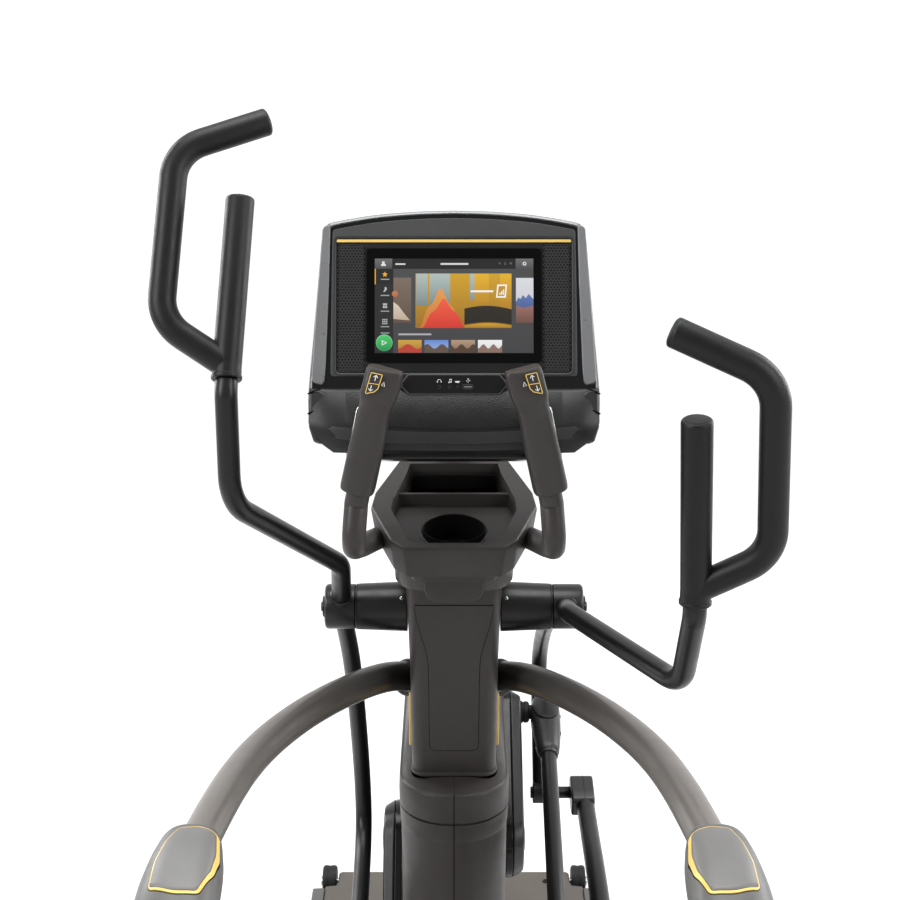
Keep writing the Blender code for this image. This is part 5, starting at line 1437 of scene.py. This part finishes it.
    side.piece(
        "foot_clevis_seam",
        band(
            [member_frame @ Vector((x * 1.004, y * 1.004, sign * 0.253)) for x, y in clevis_outline], 0.0012, 0.0004,
            (sign, 0, 0), closed=True
        ),
        "seam", body
    )
    heads = [
        screw(side.member(0.2703, 0, 0), (sign, 0, 0), 0.0085, 0.002),
        screw(side.member(0.2725, 0.95, 0), (sign, 0, 0), 0.0085, 0.002)
    ]
    side.piece("foot_bolts", heads, "gloss_black", body)

    # Pedal: a rubber tray on its own foot plate, with a raised rim and grip ribs.
    lean = radians(5.6)
    tilt = member_frame @ Matrix.Translation((0.775, 0, 0)) @ Matrix.Rotation(-lean, 4, "Z")
    pedal_frame = tilt @ Matrix(((0, 1, 0, 0), (0, 0, 1, 0), (1, 0, 0, 0), (0, 0, 0, 1)))
    plan = [
        (0.052, 0.175), (0.217, 0.175), (0.2245, 0.16), (0.2245, -0.12), (0.195, -0.165), (0.09, -0.175),
        (0.05, -0.13), (0.045, 0.15)
    ]
    plan = fillet(plan, 0.018, 6)

    def pedal_ring(scale, height, plan=plan, sign=sign, pedal_frame=pedal_frame):
        return [
            pedal_frame @ Vector((sign * (0.135 + (x - 0.135) * scale), y * (1 - (1 - scale) * 0.5), height))
            for x, y in plan
        ]

    levels = [
        (0.955, -0.01), (0.985, -0.0085), (0.998, -0.004), (1, 0.026), (0.996, 0.0325), (0.985, 0.0345),
        (0.965, 0.0338)
    ]
    levels += [(0.945, 0.029), (0.925, 0.016), (0.905, 0.0125)]
    side.piece("pedal_tray", loft([pedal_ring(*level) for level in levels]), "rubber", body, "pedal", sharp=40)
    ribs = []
    for k in range(17):
        y = -0.135 + 0.0172 * k
        reach = 0.068 if y > -0.1 else 0.052
        chevron = [(0.135 - reach, y - 0.01), (0.135, y + 0.004), (0.135 + reach, y - 0.01)]
        line = fillet([(*p, 0) for p in chevron], 0.02, 5, closed=False)
        ribs.append(
            band(
                [pedal_frame @ Vector((sign * p.x, p.y, 0.0118)) for p in line], 0.006, 0.0026,
                pedal_frame.to_3x3() @ Z_AXIS
            )
        )
    side.piece("pedal_ribs", ribs, "grip_rubber", body, bevel=0.0005)
    lug_shape = [
        prism(
            [(sign * 0.213, 0.12), (sign * 0.2372, 0.115), (sign * 0.2372, -0.095), (sign * 0.213, -0.1)], -0.008,
            0.01, pedal_frame
        )
    ]
    side.piece("pedal_lug", lug_shape, "satin_black", body, bevel=0.002)

    # Control link: a boxed bar hung in the arch housing.
    body = "hanger"
    top, end = (HANGER.y - AXLE.y, HANGER.z), (side.link_pin.y - AXLE.y, side.link_pin.z)
    bar = side.slab(capsule(top, end, 0.021, 0.021, 28), 0.2767, 0.2998)
    side.piece("link_bar", bar, "satin_black", body, "control_link", bevel=0.0035, segments=3)
    inset = side.slab(
        capsule(Vector(top).lerp(Vector(end), 0.14), Vector(top).lerp(Vector(end), 0.88), 0.0105, 0.0105, 20), 0.2992,
        0.3012
    )
    side.piece("link_rib", inset, "part_grey", body, bevel=0.0006)
    bolt = [(0.299, 0), (0.299, 0.013), (0.303, 0.013), (0.304, 0.0115), (0.304, 0)]
    side.piece("link_bolt", side.spun(bolt, side.link_pin, 6), "steel", body, bevel=0.0005)

# ---------------------------------------------------------------- base

ROLLER = (0.273, 0.6, 0.066)  # the transport wheels' centre
plate_outline = [(0.2793, 0.3803), (0.2793, 0.552), (0.253, 0.556), (0.253, 0.604), (0.247, 0.6098)]
plate_outline = mirrored(plate_outline)
plate_outline = fillet(plate_outline, 0.004, 3)
piece("base_deck", prism(plate_outline, 0.022, 0.0838), "base_grey", nodes=["base_plate"], bevel=0.003, segments=3)
deck_seams = [band([at(-0.262, 0.4, 0.0836), at(0.262, 0.4, 0.0836)], 0.0012, 0.0006, Z_AXIS)]
piece("base_deck_seam", deck_seams, "seam")
piece(
    "base_deck_bolts", [screw(at(x, y, 0.0838), (0, 0, 1), 0.007, 0.003) for x in (-0.2, 0.2) for y in (0.43, 0.57)],
    "satin_black"
)
for side in side_list:
    sign = side.sign
    cap_outline = fillet(
        [(0.3805, 0.022), (0.552, 0.022), (0.5525, 0.07), (0.54, 0.0875), (0.3805, 0.0875)], 0.007, 5
    )
    side.piece(
        "base_cheek", side.slab(cap_outline, 0.28, 0.3058, SIDE, 0.985), "housing_grey", node="base_end_cap",
        bevel=0.003
    )
    centre = at(sign * ROLLER[0], *ROLLER[1:])
    tread = [
        (-0.015, 0.0068), (-0.015, 0.0215), (-0.0125, 0.0225), (-0.0125, 0.0275), (-0.015, 0.0285), (-0.015, 0.031)
    ]
    tread += [
        (-0.0118, 0.0338), (-0.0045, 0.034), (-0.0035, 0.033), (0.0035, 0.033), (0.0045, 0.034), (0.0118, 0.0338)
    ]
    tread += [(0.015, 0.031), (0.015, 0.0285), (0.0125, 0.0275), (0.0125, 0.0225), (0.015, 0.0215), (0.015, 0.0068)]
    side.piece("roller", lathe(tread, centre, sides=56), "rubber", "wheel", "transport_wheel", sharp=30, bevel=0.0003)
    axle_end = [(0.235, 0), (0.235, 0.0062), (0.2898, 0.0062), (0.2898, 0.0105), (0.2925, 0.0098), (0.293, 0)]
    side.piece("roller_axle", side.spun(axle_end, at(0, *ROLLER[1:]), sides=28), "steel", bevel=0.0003)
    for end, x, y in (("front", 0.24, 0.42), ("rear", 0.33, -1.21)):  # the four levelling pads
        foot = [
            (0, 0), (0, 0.0195), (0.0015, 0.0215), (0.004, 0.022), (0.0095, 0.0216), (0.0115, 0.018), (0.0125, 0.012)
        ]
        foot += [(0.013, 0.008), (0.0217, 0.008), (0.0217, 0)]
        side.piece(f"pad_{end}", lathe(foot, at(sign * x, y, 0), Z_AXIS, 44), "rubber", node=f"foot_{end}", sharp=30)
        nut = [(0.0132, 0.0082), (0.0132, 0.013), (0.019, 0.013), (0.019, 0.0082)]
        side.piece(f"pad_nut_{end}", lathe(nut, at(sign * x, y, 0), Z_AXIS, 6), "steel", bevel=0.0006)
    end_cap = fillet([(-1.2495, 0.0225), (-1.1705, 0.0225), (-1.1705, 0.0845), (-1.2495, 0.0845)], 0.012, 6)
    side.piece("stabiliser_cap", side.slab(end_cap, 0.356, 0.3698, SIDE, 0.93), "rubber", bevel=0.003)
tube_outline = fillet([(-1.2485, 0.0235), (-1.1715, 0.0235), (-1.1715, 0.0835), (-1.2485, 0.0835)], 0.011, 6)
piece(
    "stabiliser_bar", prism(tube_outline, -0.3558, 0.3558, SIDE), "satin_black", nodes=["rear_stabiliser"],
    bevel=0.0008
)
beam_section = fillet([(-0.0398, 0.0302), (0.0398, 0.0302), (0.0398, 0.0838), (-0.0398, 0.0838)], 0.008, 6)
beam = loft([[at(x, y, z) for x, z in beam_section] for y in (-1.1695, 0.3795)])
bracket = prism(
    fillet([(0.34, 0.07), (0.3795, 0.07), (0.3795, 0.216), (0.372, 0.235), (0.352, 0.235), (0.34, 0.19)], 0.008, 5),
    -0.008, 0.008, SIDE
)
piece("beam_bar", [beam, bracket], "satin_black", nodes=["centre_beam"], sharp=30, bevel=0.0006)
weld_ends = [at(x, -1.1693, z) for x, z in beam_section]
piece("beam_weld", tube(weld_ends + [weld_ends[0]], 0.0028, 10, (0, 0)), "satin_black", sharp=60)

# ---------------------------------------------------------------- floor, lights and camera

GROUND = 400
ground = build(
    "studio_floor",
    loft([[Vector((x, y, z)) for x, y in rectangle(-GROUND, -GROUND, GROUND, GROUND)] for z in (-0.02, -0.0005)])
)
# The floor glows as painted light: weakly near the machine and more strongly far off, a painted shade round the
# machine and a painted white distance.
floor_look, tree, shader, source = object_look("studio_floor")
drift = add(tree, "TexNoise", Scale=0.6, Vector=source).outputs["Fac"]
distance = add(tree, "VectorMath", operation="LENGTH", Vector=source).outputs["Value"]
painted_floor_glow = add(tree, "MapRange", Value=distance, From_Min=0.5, From_Max=9.0, To_Min=0.2, To_Max=0.66)
put(
    tree, shader, Base_Color=ramp(tree, drift, [0.6] * 3, [0.64] * 3), Roughness=0.8, Specular_IOR_Level=0,
    Emission_Color=(1, 1, 1, 1), Emission_Strength=painted_floor_glow.outputs["Result"]
)
ground.data.materials.append(floor_look)

# The studio is bright behind the object and dim on the user's side.
world = bpy.data.worlds.new("studio")
world.use_nodes = True
tree = world.node_tree
heading = add(tree, "SeparateXYZ", Vector=add(tree, "TexCoord").outputs["Generated"]).outputs["Y"]
dimmer = add(tree, "MapRange", Value=heading, From_Min=-0.35, From_Max=0.75, To_Min=0.5, To_Max=1)
put(tree, tree.nodes["Background"], Color=(1, 1, 1, 1), Strength=dimmer.outputs["Result"])
bpy.context.scene.world = world
bpy.context.scene.view_settings.view_transform = "Standard"  # true colours, with a white studio


def in_scene(name, data, place):
    made = bpy.data.objects.new(name, data)
    made.location = place
    bpy.context.scene.collection.objects.link(made)
    return made


def softbox(name, place, target, size, power):
    data = bpy.data.lights.new(name, "AREA")
    data.shape, data.size, data.size_y, data.energy = "RECTANGLE", *size, power
    made = in_scene(name, data, place)
    made.rotation_euler = (Vector(target) - Vector(place)).to_track_quat("-Z", "Y").to_euler()


softbox("overhead", (0, 0.3, 4.6), (0, 0.1, 0.9), (3.0, 2.0), 130)
softbox("key_left", (-2.6, -1.5, 2.9), (0, 0.1, 1), (0.9, 2.2), 75)
softbox("key_right", (2.6, -1.3, 2.7), (0, 0.1, 1), (0.9, 2.2), 55)
softbox("rim_left", (-2.6, 2.0, 2.2), (0, 0.2, 1), (0.8, 2.6), 60)
softbox("rim_right", (2.8, 1.7, 2.2), (0, 0.2, 1), (0.8, 2.6), 60)

EYE_DISTANCE, EYE_HEIGHT, EYE_PITCH = 2.4386, 1.989, radians(17)
lens = bpy.data.cameras.new("camera")
lens.sensor_width, lens.lens, lens.clip_end = 36.0, 62.88, 200
lens.shift_x = -4 / 900
camera = in_scene("camera", lens, (0, AXLE.y - EYE_DISTANCE, EYE_HEIGHT))
camera.rotation_euler = (pi / 2 - EYE_PITCH, 0, 0)
bpy.context.scene.camera = camera
